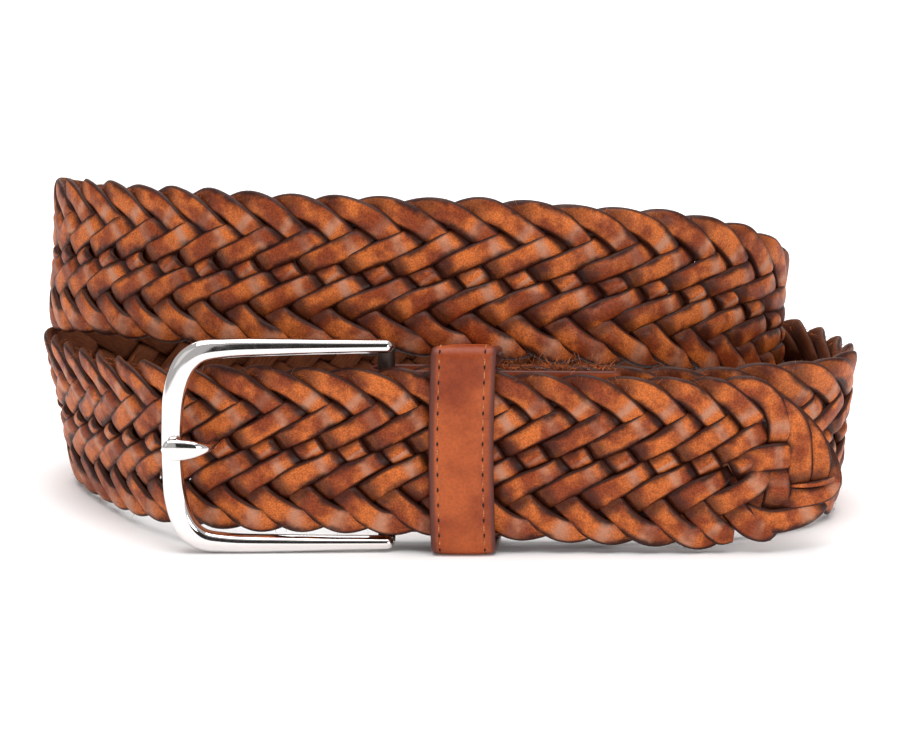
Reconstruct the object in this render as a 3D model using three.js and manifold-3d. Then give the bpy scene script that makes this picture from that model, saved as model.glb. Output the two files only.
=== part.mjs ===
// Braided leather belt, buckled shut and doubled into two turns, standing on its lower edges.
// Millimetres. +X runs along the buckle, -Y is the side of the buckle's face, +Z is up.
import * as THREE from "three";
import Module from "manifold-3d";

const wasm = await Module();
wasm.setup();
const { Manifold, Mesh } = wasm;

// Named sizes
const COIL_LENGTH = 170; // across the two turns, left to right
const COIL_DEPTH = 104; // across the two turns, front to back
const STRAP_WIDTH = 35;
const STRAP_THICK = 4;
const PLAIT = 10; // length of one plait along the strap
const SCALLOP = 0.05; // how far the edge falls between two strands, per half width
const TIP_LENGTH = 24; // stretch over which the tail runs out to its tip
const TIP_DROP = 0.07; // how far the tip sits below the middle, per width
const RUNNING_GAP = 0.3; // clearance between neighbours
const FLOOR_GAP = 0.1; // clearance between the buckle and the surface it stands over

const HEEL_X = -13; // axis of the heel bar, which the leather tab is folded round
const HEEL_BAR_RADIUS = 1.8;
const BUCKLE_LENGTH = 43.6; // heel bar to toe bar
const BUCKLE_ROOM = 3; // edge of the strap to the middle of an arm
const BUCKLE_HALF_HEIGHT = STRAP_WIDTH / 2 + BUCKLE_ROOM;
const BUCKLE_BAR_HIGH = 3.5; // bar of the frame, seen from the front
const HEEL_Z = BUCKLE_HALF_HEIGHT + BUCKLE_BAR_HIGH / 2 + FLOOR_GAP;
const BUCKLE_BAR_DEEP = 4;
const BUCKLE_OVERHANG = 1.6; // rounded ends of the arms past the heel bar
const LUG_HIGH = 1.6; // lugs that carry the heel bar behind the arms
const UPPER_LUG = -1.8; // middle of a lug from the middle of its arm
const LOWER_LUG = 0.45;

const PRONG_WIDE = 4.7;
const PRONG_THICK = 2.4;
const EYE_WALL = 1.4; // wall of the prong's eye round the heel bar
const SLOT_SIDE = 0.7; // clearance beside the prong in the tab's slot

const TAB_THICK = 1.4;
const TAB_MARGIN = 0.55; // edge of the tab inside the strap's edge
const TAB_WIDE = STRAP_WIDTH - 2 * TAB_MARGIN;
const TAB_RISE = 0.3; // middle of the tab above the middle of the strap
const TAB_END_X = 34.5;

const KEEPER_WIDE = 13.2;
const KEEPER_THICK = 2;
const KEEPER_X = 3.5;
const KEEPER_ROOM = 8.8; // height of the loop past the width of the strap
const KEEPER_TOP = STRAP_WIDTH + KEEPER_ROOM;
const KEEPER_FALL = 2.6; // how much lower its top lies at the back
const KEEPER_SHIFT = 1.5; // how far its back lies to the right of its front
const KEEPER_BOW = 0.5; // how far it bows to the left at half its height

// From one turn of the strap to the next in front of it, with a leaf of the tab between
const LAYER = STRAP_THICK + TAB_THICK + 2 * RUNNING_GAP;

// Middle of the strap from the tail's tip to the end held in the tab.
// along, deep: shares of the coil's length and depth. up, wide: shares of the strap's width.
// layer: layers in front of the end held in the tab. plait: share of one plait.
// over_x, over_y: how far the upper edge lies over, per width.
const ROUTE = [
  { along: 0.475, deep: -0.417, up: 0.515, wide: 1.0, layer: 1, over_x: 0, over_y: 0, plait: 0.72 },
  { along: 0.36, deep: -0.457, up: 0.53, wide: 1.02, layer: 1, over_x: 0, over_y: 0, plait: 0.74 },
  { along: 0.2, deep: -0.455, up: 0.555, wide: 1.0, layer: 1, over_x: 0, over_y: 0, plait: 0.92 },
  { along: 0.02, deep: -0.449, up: 0.59, wide: 1.0, layer: 1, over_x: 0, over_y: 0, plait: 0.92 },
  { along: -0.15, deep: -0.447, up: 0.615, wide: 0.98, layer: 1, over_x: 0, over_y: 0, plait: 0.9 },
  { along: -0.275, deep: -0.432, up: 0.61, wide: 0.98, layer: 1, over_x: -0.02, over_y: 0, plait: 0.9 },
  { along: -0.37, deep: -0.37, up: 0.57, wide: 0.98, layer: 0, over_x: -0.08, over_y: -0.04, plait: 0.9 },
  { along: -0.426, deep: -0.2, up: 0.53, wide: 0.98, layer: 0, over_x: -0.14, over_y: -0.06, plait: 0.95 },
  { along: -0.476, deep: -0.02, up: 0.5, wide: 0.97, layer: 0, over_x: -0.19, over_y: 0, plait: 1.0 },
  { along: -0.511, deep: 0.15, up: 0.485, wide: 0.97, layer: 0, over_x: -0.2, over_y: 0.04, plait: 1.0 },
  { along: -0.446, deep: 0.31, up: 0.485, wide: 0.97, layer: 0, over_x: -0.12, over_y: 0.06, plait: 1.0 },
  { along: -0.26, deep: 0.39, up: 0.49, wide: 0.97, layer: 0, over_x: 0, over_y: 0, plait: 0.975 },
  { along: -0.02, deep: 0.42, up: 0.5, wide: 0.98, layer: 0, over_x: 0, over_y: 0, plait: 0.975 },
  { along: 0.2, deep: 0.4, up: 0.52, wide: 0.98, layer: 0, over_x: 0, over_y: 0, plait: 1.0 },
  { along: 0.355, deep: 0.28, up: 0.6, wide: 0.98, layer: 0, over_x: 0, over_y: 0, plait: 1.0 },
  { along: 0.43, deep: 0.11, up: 0.86, wide: 0.96, layer: 0, over_x: 0, over_y: 0.08, plait: 0.92 },
  { along: 0.405, deep: -0.05, up: 1.17, wide: 0.94, layer: 0, over_x: 0, over_y: 0.12, plait: 0.94 },
  { along: 0.31, deep: -0.21, up: 1.378, wide: 0.94, layer: 0, over_x: 0, over_y: 0.12, plait: 0.99 },
  { along: 0.17, deep: -0.388, up: 1.5, wide: 0.94, layer: -1, over_x: 0, over_y: 0.12, plait: 0.99 },
  { along: 0.0, deep: -0.412, up: 1.555, wide: 0.94, layer: -1, over_x: 0, over_y: 0.12, plait: 0.98 },
  { along: -0.16, deep: -0.408, up: 1.563, wide: 0.93, layer: -1, over_x: 0, over_y: 0.12, plait: 0.95 },
  { along: -0.32, deep: -0.24, up: 1.555, wide: 0.93, layer: 0, over_x: 0, over_y: 0.12, plait: 0.92 },
  { along: -0.445, deep: -0.08, up: 1.53, wide: 0.94, layer: 0, over_x: 0.02, over_y: 0.1, plait: 0.85 },
  { along: -0.51, deep: 0.1, up: 1.455, wide: 0.94, layer: 0, over_x: 0.06, over_y: 0.06, plait: 0.8 },
  { along: -0.5, deep: 0.31, up: 1.34, wide: 0.96, layer: 0, over_x: 0.06, over_y: 0, plait: 0.9 },
  { along: -0.364, deep: 0.5, up: 1.09, wide: 0.98, layer: 0, over_x: 0, over_y: -0.06, plait: 1.0 },
  { along: -0.14, deep: 0.56, up: 0.79, wide: 0.98, layer: 0, over_x: 0, over_y: -0.06, plait: 1.0 },
  { along: 0.08, deep: 0.55, up: 0.575, wide: 0.98, layer: 0, over_x: 0, over_y: -0.04, plait: 1.0 },
  { along: 0.28, deep: 0.46, up: 0.505, wide: 0.98, layer: 0, over_x: 0.02, over_y: -0.02, plait: 1.0 },
  { along: 0.42, deep: 0.26, up: 0.5, wide: 0.98, layer: 0, over_x: 0.08, over_y: 0, plait: 1.0 },
  { along: 0.485, deep: 0.01, up: 0.5, wide: 0.98, layer: 0, over_x: 0.12, over_y: 0.02, plait: 0.96 },
  { along: 0.495, deep: -0.23, up: 0.52, wide: 1.0, layer: 0, over_x: 0.12, over_y: 0.02, plait: 0.94 },
  { along: 0.4, deep: -0.385, up: 0.545, wide: 1.0, layer: 0, over_x: 0.04, over_y: 0, plait: 0.94 },
  { along: 0.27, deep: -0.438, up: 0.565, wide: 1.0, layer: 0, over_x: 0, over_y: 0, plait: 0.94 },
  { along: 0.15, deep: -0.448, up: 0.575, wide: 1.0, layer: 0, over_x: 0, over_y: 0, plait: 0.94 },
  { along: 0.04, deep: -0.448, up: 0.58, wide: 1.0, layer: 0, over_x: 0, over_y: 0, plait: 0.94 },
  { along: -0.048, deep: -0.448, up: 0.58, wide: 1.0, layer: 0, over_x: 0, over_y: 0, plait: 0.94 },
];

// Outline of the strap across its width: shares of half the width and half the thickness
const STRAP_OUTLINE = [
  { across: 1, thick: 0.42 },
  { across: 0.9, thick: 1 },
  { across: 0, thick: 1 },
  { across: -0.9, thick: 1 },
  { across: -1, thick: 0.42 },
  { across: -1, thick: -0.42 },
  { across: -0.9, thick: -1 },
  { across: 0, thick: -1 },
  { across: 0.9, thick: -1 },
  { across: 1, thick: -0.42 },
];

// Upper half of the buckle's horseshoe, from the heel to the middle of the toe bar.
// out: share of the length from heel to toe. high: share of half the height.
// bar: share of the bar's height.
const HORSESHOE = [
  { out: 0, high: 1, bar: 0.8 },
  { out: 0.25, high: 1, bar: 0.88 },
  { out: 0.48, high: 1, bar: 1 },
  { out: 0.76, high: 0.987, bar: 1.15 },
  { out: 0.865, high: 0.952, bar: 1.3 },
  { out: 0.927, high: 0.852, bar: 1.37 },
  { out: 0.963, high: 0.708, bar: 1.34 },
  { out: 0.988, high: 0.5, bar: 1.3 },
  { out: 0.997, high: 0.25, bar: 1.22 },
  { out: 1, high: 0, bar: 1.2 },
];
const HEEL_FORWARD = 5.4; // arms in front of the heel bar's axis
const TOE_FORWARD = 6.8; // toe bar in front of the heel bar's axis

// Prong from its eye to its point: along shares of the buckle's length, forward in prong
// thicknesses in front of the heel bar's axis, wide and thick shares of the prong.
const PRONG = [
  { along: 0.0, forward: 0.95, wide: 1, thick: 1 },
  { along: 0.3, forward: 0.95, wide: 0.8, thick: 1 },
  { along: 0.6, forward: 1.05, wide: 0.5, thick: 1 },
  { along: 0.76, forward: 1.75, wide: 0.4, thick: 1 },
  { along: 0.84, forward: 2.9, wide: 0.62, thick: 1 },
  { along: 0.93, forward: 4.1, wide: 1.05, thick: 1 },
  { along: 0.985, forward: 4.35, wide: 0.95, thick: 0.95 },
  { along: 1.025, forward: 4.35, wide: 0.8, thick: 0.85 },
  { along: 1.045, forward: 4.3, wide: 0.5, thick: 0.6 },
];

const leather = new THREE.MeshStandardMaterial({ color: 0x9a5428, roughness: 0.6 });
const tan = new THREE.MeshStandardMaterial({ color: 0xa65a30, roughness: 0.55 });
const nickel = new THREE.MeshStandardMaterial({
  color: 0xe6e4e2,
  roughness: 0.12,
  metalness: 1,
});

// Closed or capped skin over rings of equal count
function skin(rings, closed = false) {
  const n = rings[0].length;
  const points = rings.flat();
  const faces = [];
  const spans = closed ? rings.length : rings.length - 1;
  for (let i = 0; i < spans; i++)
    for (let k = 0; k < n; k++) {
      const a = i * n + k;
      const b = i * n + ((k + 1) % n);
      const c = ((i + 1) % rings.length) * n + k;
      const d = ((i + 1) % rings.length) * n + ((k + 1) % n);
      faces.push(a, b, d, a, d, c);
    }
  if (!closed)
    for (const [i, turn] of [
      [0, 1],
      [rings.length - 1, -1],
    ]) {
      const middle = new THREE.Vector3();
      rings[i].forEach((p) => middle.addScaledVector(p, 1 / n));
      points.push(middle);
      for (let k = 0; k < n; k++) {
        const a = i * n + k;
        const b = i * n + ((k + 1) % n);
        faces.push(...(turn > 0 ? [points.length - 1, b, a] : [points.length - 1, a, b]));
      }
    }
  // Rings may run either way round: the faces are turned outwards
  let volume = 0;
  for (let f = 0; f < faces.length; f += 3) {
    const [a, b, c] = [0, 1, 2].map((k) => points[faces[f + k]]);
    volume += a.dot(b.clone().cross(c));
  }
  if (volume < 0) faces.reverse();
  const g = new THREE.BufferGeometry();
  const flat = new Float32Array(points.flatMap((p) => [p.x, p.y, p.z]));
  g.setAttribute("position", new THREE.BufferAttribute(flat, 3));
  g.setIndex(faces);
  return g;
}

const solid = (g) =>
  new Manifold(
    new Mesh({
      numProp: 3,
      vertProperties: g.attributes.position.array,
      triVerts: new Uint32Array(g.index.array),
    }),
  );

function geometry(made) {
  const m = made.getMesh();
  const g = new THREE.BufferGeometry();
  g.setAttribute("position", new THREE.BufferAttribute(new Float32Array(m.vertProperties), 3));
  g.setIndex(new THREE.BufferAttribute(new Uint32Array(m.triVerts), 1));
  return g;
}

function piece(name, g, material) {
  const flat = g.index ? g.toNonIndexed() : g;
  flat.computeVertexNormals();
  const mesh = new THREE.Mesh(flat, material);
  mesh.name = name;
  return mesh;
}

// Rounded ring round a point: a and b are half sizes along the directions u and v
function oval(p, u, a, v, b, count = 12, square = 2.6) {
  const bend = (x) => Math.sign(x) * Math.abs(x) ** (2 / square);
  return Array.from({ length: count }, (_, k) => {
    const angle = ((k + 0.5) / count) * 2 * Math.PI;
    return p
      .clone()
      .addScaledVector(u, a * bend(Math.cos(angle)))
      .addScaledVector(v, b * bend(Math.sin(angle)));
  });
}

// Value of one column of the route at station t, smoothed between its neighbours
function blend(values, t) {
  const last = values.length - 1;
  const at = (k) =>
    k < 0 ? 2 * values[0] - values[1] : k > last ? 2 * values[last] - values[last - 1] : values[k];
  const i = Math.min(Math.floor(t), last - 1);
  const f = t - i;
  return (
    ((1 - f) ** 3 * at(i - 1) +
      (3 * f ** 3 - 6 * f ** 2 + 4) * at(i) +
      (-3 * f ** 3 + 3 * f ** 2 + 3 * f + 1) * at(i + 1) +
      f ** 3 * at(i + 2)) /
    6
  );
}

// The strap's middle line in fine steps, with the length and the plaits run so far
function walkStrap() {
  const column = (name) => ROUTE.map((row) => row[name]);
  const columns = Object.fromEntries(Object.keys(ROUTE[0]).map((name) => [name, column(name)]));
  const steps = (ROUTE.length - 1) * 60;
  const walk = [];
  for (let k = 0; k <= steps; k++) {
    const t = (k / steps) * (ROUTE.length - 1);
    const v = Object.fromEntries(Object.keys(columns).map((name) => [name, blend(columns[name], t)]));
    const middle = new THREE.Vector3(
      v.along * COIL_LENGTH,
      v.deep * COIL_DEPTH - v.layer * LAYER,
      v.up * STRAP_WIDTH,
    );
    const before = walk[k - 1];
    const moved = before ? middle.distanceTo(before.middle) : 0;
    walk.push({
      middle,
      half: (v.wide * STRAP_WIDTH) / 2,
      over: new THREE.Vector3(v.over_x, v.over_y, 1),
      length: (before ? before.length : 0) + moved,
      plaits: (before ? before.plaits : 0) + moved / (v.plait * PLAIT),
    });
  }
  walk.forEach((w, k) => {
    const a = walk[Math.max(k - 1, 0)].middle;
    const b = walk[Math.min(k + 1, walk.length - 1)].middle;
    w.heading = b.clone().sub(a).normalize();
    w.up = w.over.clone().addScaledVector(w.heading, -w.over.dot(w.heading)).normalize();
    w.outward = w.up.clone().cross(w.heading);
  });
  return walk;
}

const walk = walkStrap();

// Station of the walk at a number of plaits
function atPlait(plaits) {
  let k = walk.findIndex((w) => w.plaits >= plaits);
  if (k < 0) k = walk.length - 1;
  return walk[k];
}

function strapRings() {
  const rings = [];
  const plaits = walk[walk.length - 1].plaits;
  const tip = [0.15, 0.45, 0.9, 1.5, 2.2];
  const quarters = Math.floor(plaits * 4);
  const stops = [...tip, ...Array.from({ length: quarters - 10 }, (_, k) => (k + 11) / 4)];
  for (const stop of [0.02, ...stops, plaits]) {
    const w = atPlait(stop);
    const run = Math.min(w.length / TIP_LENGTH, 1);
    const narrow = Math.max(Math.sin((Math.PI / 2) * run ** 0.85), 0.2);
    const fall = 1 - SCALLOP * (1 - Math.abs(Math.cos(Math.PI * w.plaits)));
    const half = w.half * narrow * fall;
    const thin = (STRAP_THICK / 2) * (0.7 + 0.3 * Math.min(3 * run, 1));
    const middle = w.middle.clone().addScaledVector(w.up, -TIP_DROP * STRAP_WIDTH * (1 - narrow));
    rings.push(
      STRAP_OUTLINE.map((o) =>
        middle
          .clone()
          .addScaledVector(w.up, o.across * half)
          .addScaledVector(w.outward, o.thick * thin),
      ),
    );
  }
  return rings;
}

const fixedEnd = walk[walk.length - 1].middle;
const heel = new THREE.Vector3(HEEL_X, fixedEnd.y, HEEL_Z);

// Prong along its line, thicker all round by grow
function prongRings(grow = 0) {
  const line = PRONG.map(
    (row) =>
      new THREE.Vector3(
        heel.x - row.along * BUCKLE_LENGTH,
        heel.y - row.forward * PRONG_THICK,
        heel.z,
      ),
  );
  const wide = PRONG.map((row) => row.wide);
  const thick = PRONG.map((row) => row.thick);
  const curve = new THREE.CatmullRomCurve3(line, false, "centripetal");
  const count = 26;
  const rise = new THREE.Vector3(0, 0, 1);
  return Array.from({ length: count + 1 }, (_, k) => {
    const t = (k / count) * (line.length - 1);
    const i = Math.min(Math.floor(t), line.length - 2);
    const mix = (values) => values[i] + (values[i + 1] - values[i]) * (t - i);
    const heading = curve.getTangent(k / count);
    const face = heading.clone().cross(rise).normalize();
    const a = (mix(wide) * PRONG_WIDE) / 2 + grow;
    const b = (mix(thick) * PRONG_THICK) / 2 + grow;
    return oval(curve.getPoint(k / count), rise, a, face, b, 12, 2.8);
  });
}

const prongStem = solid(skin(prongRings()));
const prongRoom = solid(skin(prongRings(RUNNING_GAP + 0.05)));

// Upright cylinder about the heel bar's axis
const post = (radius, low, high, sides = 24) =>
  Manifold.cylinder(high - low, radius, radius, sides).translate([heel.x, heel.y, low]);

const eyeHole = HEEL_BAR_RADIUS + RUNNING_GAP;
const eye = post(eyeHole + EYE_WALL, heel.z - PRONG_WIDE / 2, heel.z + PRONG_WIDE / 2).subtract(
  post(eyeHole, 0, 2 * heel.z),
);
const prong = prongStem.subtract(post(eyeHole, 0, 2 * heel.z)).add(eye);

const strap = solid(skin(strapRings())).subtract(prongRoom);

// Buckle: horseshoe of one bar with rounded ends, and the heel bar across it
function horseshoe() {
  const lower = HORSESHOE.slice(0, -1).reverse();
  const outline = [
    { out: -BUCKLE_OVERHANG / BUCKLE_LENGTH, high: 1, bar: HORSESHOE[0].bar },
    ...HORSESHOE,
    ...lower.map((row) => ({ ...row, high: -row.high })),
    { out: -BUCKLE_OVERHANG / BUCKLE_LENGTH, high: -1, bar: HORSESHOE[0].bar },
  ];
  const line = outline.map(
    (row) =>
      new THREE.Vector3(
        heel.x - row.out * BUCKLE_LENGTH,
        heel.y - HEEL_FORWARD - (TOE_FORWARD - HEEL_FORWARD) * Math.max(row.out, 0),
        heel.z + row.high * BUCKLE_HALF_HEIGHT,
      ),
  );
  const curve = new THREE.CatmullRomCurve3(line, false, "centripetal");
  const count = 64;
  const forward = new THREE.Vector3(0, -1, 0);
  return Array.from({ length: count + 1 }, (_, k) => {
    const heading = curve.getTangentAt(k / count);
    const face = forward.clone().addScaledVector(heading, -forward.dot(heading)).normalize();
    const side = heading.clone().cross(face);
    const near = Math.min(k, count - k);
    const round = [0.55, 0.9, 1][Math.min(near, 2)];
    const t = curve.getUtoTmapping(k / count) * (outline.length - 1);
    const i = Math.min(Math.floor(t), outline.length - 2);
    const bar = outline[i].bar + (outline[i + 1].bar - outline[i].bar) * (t - i);
    const high = (BUCKLE_BAR_HIGH / 2) * bar * round;
    const deep = (BUCKLE_BAR_DEEP / 2) * round;
    return oval(curve.getPointAt(k / count), face, deep, side, high, 12, 2.5);
  });
}

const lugHeights = [BUCKLE_HALF_HEIGHT + UPPER_LUG, LOWER_LUG - BUCKLE_HALF_HEIGHT];
const heelBar = post(
  HEEL_BAR_RADIUS,
  heel.z + lugHeights[1] - LUG_HIGH / 2,
  heel.z + lugHeights[0] + LUG_HIGH / 2,
);
const lugs = lugHeights.map((height) =>
  Manifold.cube([2 * HEEL_BAR_RADIUS, HEEL_FORWARD, LUG_HIGH], true).translate([
    heel.x,
    heel.y - HEEL_FORWARD / 2,
    heel.z + height,
  ]),
);
const buckle = Manifold.union([solid(skin(horseshoe())), heelBar, ...lugs]);

// Tab: one leaf outside the strap, folded round the heel bar, and one leaf inside it
const tabReach = STRAP_THICK / 2 + RUNNING_GAP + TAB_THICK / 2;
const FOLD_STEPS = 10;

function tabRings() {
  const held = walk.filter(
    (w, k) => k > walk.length / 2 && w.middle.y < -0.4 * COIL_DEPTH && w.middle.x < TAB_END_X,
  );
  const spread = held.filter((_, k) => k % 16 === 0);
  const leaf = (side) =>
    spread.map((w) => {
      const p = w.middle.clone().addScaledVector(w.outward, side * tabReach);
      return { p, out: w.outward.clone().multiplyScalar(side) };
    });
  const fold = Array.from({ length: FOLD_STEPS + 1 }, (_, k) => {
    const angle = (k / FOLD_STEPS) * Math.PI;
    const out = new THREE.Vector3(-Math.sin(angle), -Math.cos(angle), 0);
    const p = new THREE.Vector3(heel.x, heel.y, fixedEnd.z).addScaledVector(out, tabReach);
    return { p, out };
  });
  const stations = [...leaf(1), ...fold, ...leaf(-1).reverse()];
  return stations.map(({ p, out }) => {
    const rise = new THREE.Vector3(0, 0, 1);
    const middle = p.clone().setZ(p.z + TAB_RISE);
    const corner = (u, v) =>
      middle
        .clone()
        .addScaledVector(out, (u * TAB_THICK) / 2)
        .addScaledVector(rise, (v * TAB_WIDE) / 2);
    return [corner(1, 0.985), corner(0.6, 1), corner(-0.6, 1), corner(-1, 0.985)].concat([
      corner(-1, -0.985),
      corner(-0.6, -1),
      corner(0.6, -1),
      corner(1, -0.985),
    ]);
  });
}

// Slot for the prong, through the fold and as deep as both leaves
const slotLong = 2 * (Math.max(eyeHole + EYE_WALL, tabReach + TAB_THICK / 2) + RUNNING_GAP);
const slotDeep = 2 * (tabReach + TAB_THICK);
const slotHigh = PRONG_WIDE + 2 * SLOT_SIDE;
const prongSlot = Manifold.cube([slotLong, slotDeep, slotHigh], true).translate([
  heel.x,
  heel.y,
  heel.z,
]);
const tab = solid(skin(tabRings())).subtract(prongSlot);

// Keeper: a flat leather loop round the tail, the tab and the strap
function keeperRings() {
  const front = walk.find((w) => w.middle.x < KEEPER_X).middle.y - STRAP_THICK / 2;
  const back = heel.y + STRAP_THICK / 2 + RUNNING_GAP + TAB_THICK;
  const wall = KEEPER_THICK / 2;
  const deep = (back - front) / 2 + RUNNING_GAP + wall;
  const high = KEEPER_TOP / 2 - wall;
  const middle = new THREE.Vector3(KEEPER_X, (front + back) / 2, KEEPER_TOP / 2);
  const corner = 1.8;
  const stations = [];
  for (const [cy, cz, start] of [
    [1, -1, -90],
    [1, 1, 0],
    [-1, 1, 90],
    [-1, -1, 180],
  ]) {
    for (let k = 0; k <= 4; k++)
      stations.push({ y: cy * (deep - corner), z: cz * (high - corner), turn: start + (k / 4) * 90 });
    // The tall sides have stations between their corners
    if (cy * cz < 0)
      for (const share of [0.5, 0, -0.5])
        stations.push({ y: cy * (deep - corner), z: -cy * share * (high - corner), turn: start + 90 });
  }
  const rings = stations.map(({ y, z, turn }) => {
    const angle = THREE.MathUtils.degToRad(turn);
    const out = new THREE.Vector3(0, Math.cos(angle), Math.sin(angle));
    const p = middle.clone().add(new THREE.Vector3(0, y, z)).addScaledVector(out, corner);
    const raised = (p.z - wall) / (KEEPER_TOP - 2 * wall);
    const backward = (p.y - middle.y + deep) / (2 * deep);
    p.x += KEEPER_SHIFT * (backward - 0.5) - KEEPER_BOW * Math.sin(Math.PI * raised);
    p.z -= KEEPER_FALL * backward * raised;
    const across = new THREE.Vector3(1, 0, 0);
    const point = (u, v) =>
      p
        .clone()
        .addScaledVector(across, (u * KEEPER_WIDE) / 2)
        .addScaledVector(out, v * wall);
    return [
      point(1, 0.4),
      point(0.93, 1),
      point(-0.93, 1),
      point(-1, 0.4),
      point(-1, -0.4),
      point(-0.93, -1),
      point(0.93, -1),
      point(1, -0.4),
    ];
  });
  return rings;
}

const group = new THREE.Group();
group.name = "braided_belt";
group.add(
  piece("braided_strap", geometry(strap), leather),
  piece("buckle_frame", geometry(buckle), nickel),
  piece("buckle_prong", geometry(prong), nickel),
  piece("leather_tab", geometry(tab), tan),
  piece("keeper_loop", skin(keeperRings(), true), tan),
);

// The origin is the middle of the belt's own box, on the surface it stands on
const box = new THREE.Box3().setFromObject(group);
const centre = box.getCenter(new THREE.Vector3());
group.position.set(-centre.x, -centre.y, -box.min.z);

export default group;
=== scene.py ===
# Braided leather belt with its polished buckle, leather tab and keeper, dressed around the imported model.
# Metres. +X runs along the buckle, -Y is the side of the buckle's face, +Z is up.
import math

import bpy
import numpy as np
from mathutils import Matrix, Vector


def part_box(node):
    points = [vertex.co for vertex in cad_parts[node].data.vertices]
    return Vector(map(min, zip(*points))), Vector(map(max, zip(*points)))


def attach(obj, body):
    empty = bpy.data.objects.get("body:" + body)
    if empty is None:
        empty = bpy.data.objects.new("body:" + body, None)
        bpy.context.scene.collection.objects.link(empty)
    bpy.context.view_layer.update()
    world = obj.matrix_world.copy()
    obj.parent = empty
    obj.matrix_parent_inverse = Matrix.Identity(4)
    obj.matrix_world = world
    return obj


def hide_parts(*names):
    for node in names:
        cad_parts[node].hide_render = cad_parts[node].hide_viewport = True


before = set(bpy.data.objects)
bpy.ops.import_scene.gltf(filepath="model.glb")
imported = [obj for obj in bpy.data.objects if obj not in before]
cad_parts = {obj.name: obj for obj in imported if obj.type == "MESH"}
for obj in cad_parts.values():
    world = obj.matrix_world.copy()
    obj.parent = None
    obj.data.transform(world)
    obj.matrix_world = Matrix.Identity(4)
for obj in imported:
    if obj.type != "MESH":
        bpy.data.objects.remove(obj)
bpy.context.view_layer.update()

bl_info = {
    "name": "Braided belt",
    "version": (1, 0, 0),
    "blender": (4, 5, 0),
    "location": "View3D > Sidebar > Belt",
    "description": "Ten-strand braided leather belt with a polished buckle",
    "category": "Add Mesh",
}

MM = 0.001
GAP = 0.3 * MM  # clearance between neighbours

# Middle of the strap from the tail's tip to the end held in the tab.
# along, deep: shares of the coil's length and depth. up, wide: shares of the strap's width.
# layer: layers in front of the end held in the tab. plait: share of one plait.
# over_x, over_y: how far the upper edge lies over, per width.
ROUTE = (
    # along, deep, up, wide, layer, over_x, over_y, plait
    (0.475, -0.417, 0.515, 1.0, 1, 0.0, 0.0, 0.72),
    (0.36, -0.457, 0.53, 1.02, 1, 0.0, 0.0, 0.74),
    (0.2, -0.455, 0.555, 1.0, 1, 0.0, 0.0, 0.92),
    (0.02, -0.449, 0.59, 1.0, 1, 0.0, 0.0, 0.92),
    (-0.15, -0.447, 0.615, 0.98, 1, 0.0, 0.0, 0.9),
    (-0.275, -0.432, 0.61, 0.98, 1, -0.02, 0.0, 0.9),
    (-0.37, -0.37, 0.57, 0.98, 0, -0.08, -0.04, 0.9),
    (-0.426, -0.2, 0.53, 0.98, 0, -0.14, -0.06, 0.95),
    (-0.476, -0.02, 0.5, 0.97, 0, -0.19, 0.0, 1.0),
    (-0.511, 0.15, 0.485, 0.97, 0, -0.2, 0.04, 1.0),
    (-0.446, 0.31, 0.485, 0.97, 0, -0.12, 0.06, 1.0),
    (-0.26, 0.39, 0.49, 0.97, 0, 0.0, 0.0, 0.975),
    (-0.02, 0.42, 0.5, 0.98, 0, 0.0, 0.0, 0.975),
    (0.2, 0.4, 0.52, 0.98, 0, 0.0, 0.0, 1.0),
    (0.355, 0.28, 0.6, 0.98, 0, 0.0, 0.0, 1.0),
    (0.43, 0.11, 0.86, 0.96, 0, 0.0, 0.08, 0.92),
    (0.405, -0.05, 1.17, 0.94, 0, 0.0, 0.12, 0.94),
    (0.31, -0.21, 1.378, 0.94, 0, 0.0, 0.12, 0.99),
    (0.17, -0.388, 1.5, 0.94, -1, 0.0, 0.12, 0.99),
    (0.0, -0.412, 1.555, 0.94, -1, 0.0, 0.12, 0.98),
    (-0.16, -0.408, 1.563, 0.93, -1, 0.0, 0.12, 0.95),
    (-0.32, -0.24, 1.555, 0.93, 0, 0.0, 0.12, 0.92),
    (-0.445, -0.08, 1.53, 0.94, 0, 0.02, 0.1, 0.85),
    (-0.51, 0.1, 1.455, 0.94, 0, 0.06, 0.06, 0.8),
    (-0.5, 0.31, 1.34, 0.96, 0, 0.06, 0.0, 0.9),
    (-0.364, 0.5, 1.09, 0.98, 0, 0.0, -0.06, 1.0),
    (-0.14, 0.56, 0.79, 0.98, 0, 0.0, -0.06, 1.0),
    (0.08, 0.55, 0.575, 0.98, 0, 0.0, -0.04, 1.0),
    (0.28, 0.46, 0.505, 0.98, 0, 0.02, -0.02, 1.0),
    (0.42, 0.26, 0.5, 0.98, 0, 0.08, 0.0, 1.0),
    (0.485, 0.01, 0.5, 0.98, 0, 0.12, 0.02, 0.96),
    (0.495, -0.23, 0.52, 1.0, 0, 0.12, 0.02, 0.94),
    (0.4, -0.385, 0.545, 1.0, 0, 0.04, 0.0, 0.94),
    (0.27, -0.438, 0.565, 1.0, 0, 0.0, 0.0, 0.94),
    (0.15, -0.448, 0.575, 1.0, 0, 0.0, 0.0, 0.94),
    (0.04, -0.448, 0.58, 1.0, 0, 0.0, 0.0, 0.94),
    (-0.048, -0.448, 0.58, 1.0, 0, 0.0, 0.0, 0.94),
)
STEPS_PER_STATION = 60

# Upper half of the buckle's horseshoe, from the heel to the middle of the toe bar.
# out: share of the length from heel to toe. high: share of half the height.
# bar: share of the bar's height.
HORSESHOE = (
    # out, high, bar
    (0.0, 1.0, 0.8),
    (0.25, 1.0, 0.88),
    (0.48, 1.0, 1.0),
    (0.76, 0.987, 1.15),
    (0.865, 0.952, 1.3),
    (0.927, 0.852, 1.37),
    (0.963, 0.708, 1.34),
    (0.988, 0.5, 1.3),
    (0.997, 0.25, 1.22),
    (1.0, 0.0, 1.2),
)

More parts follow.
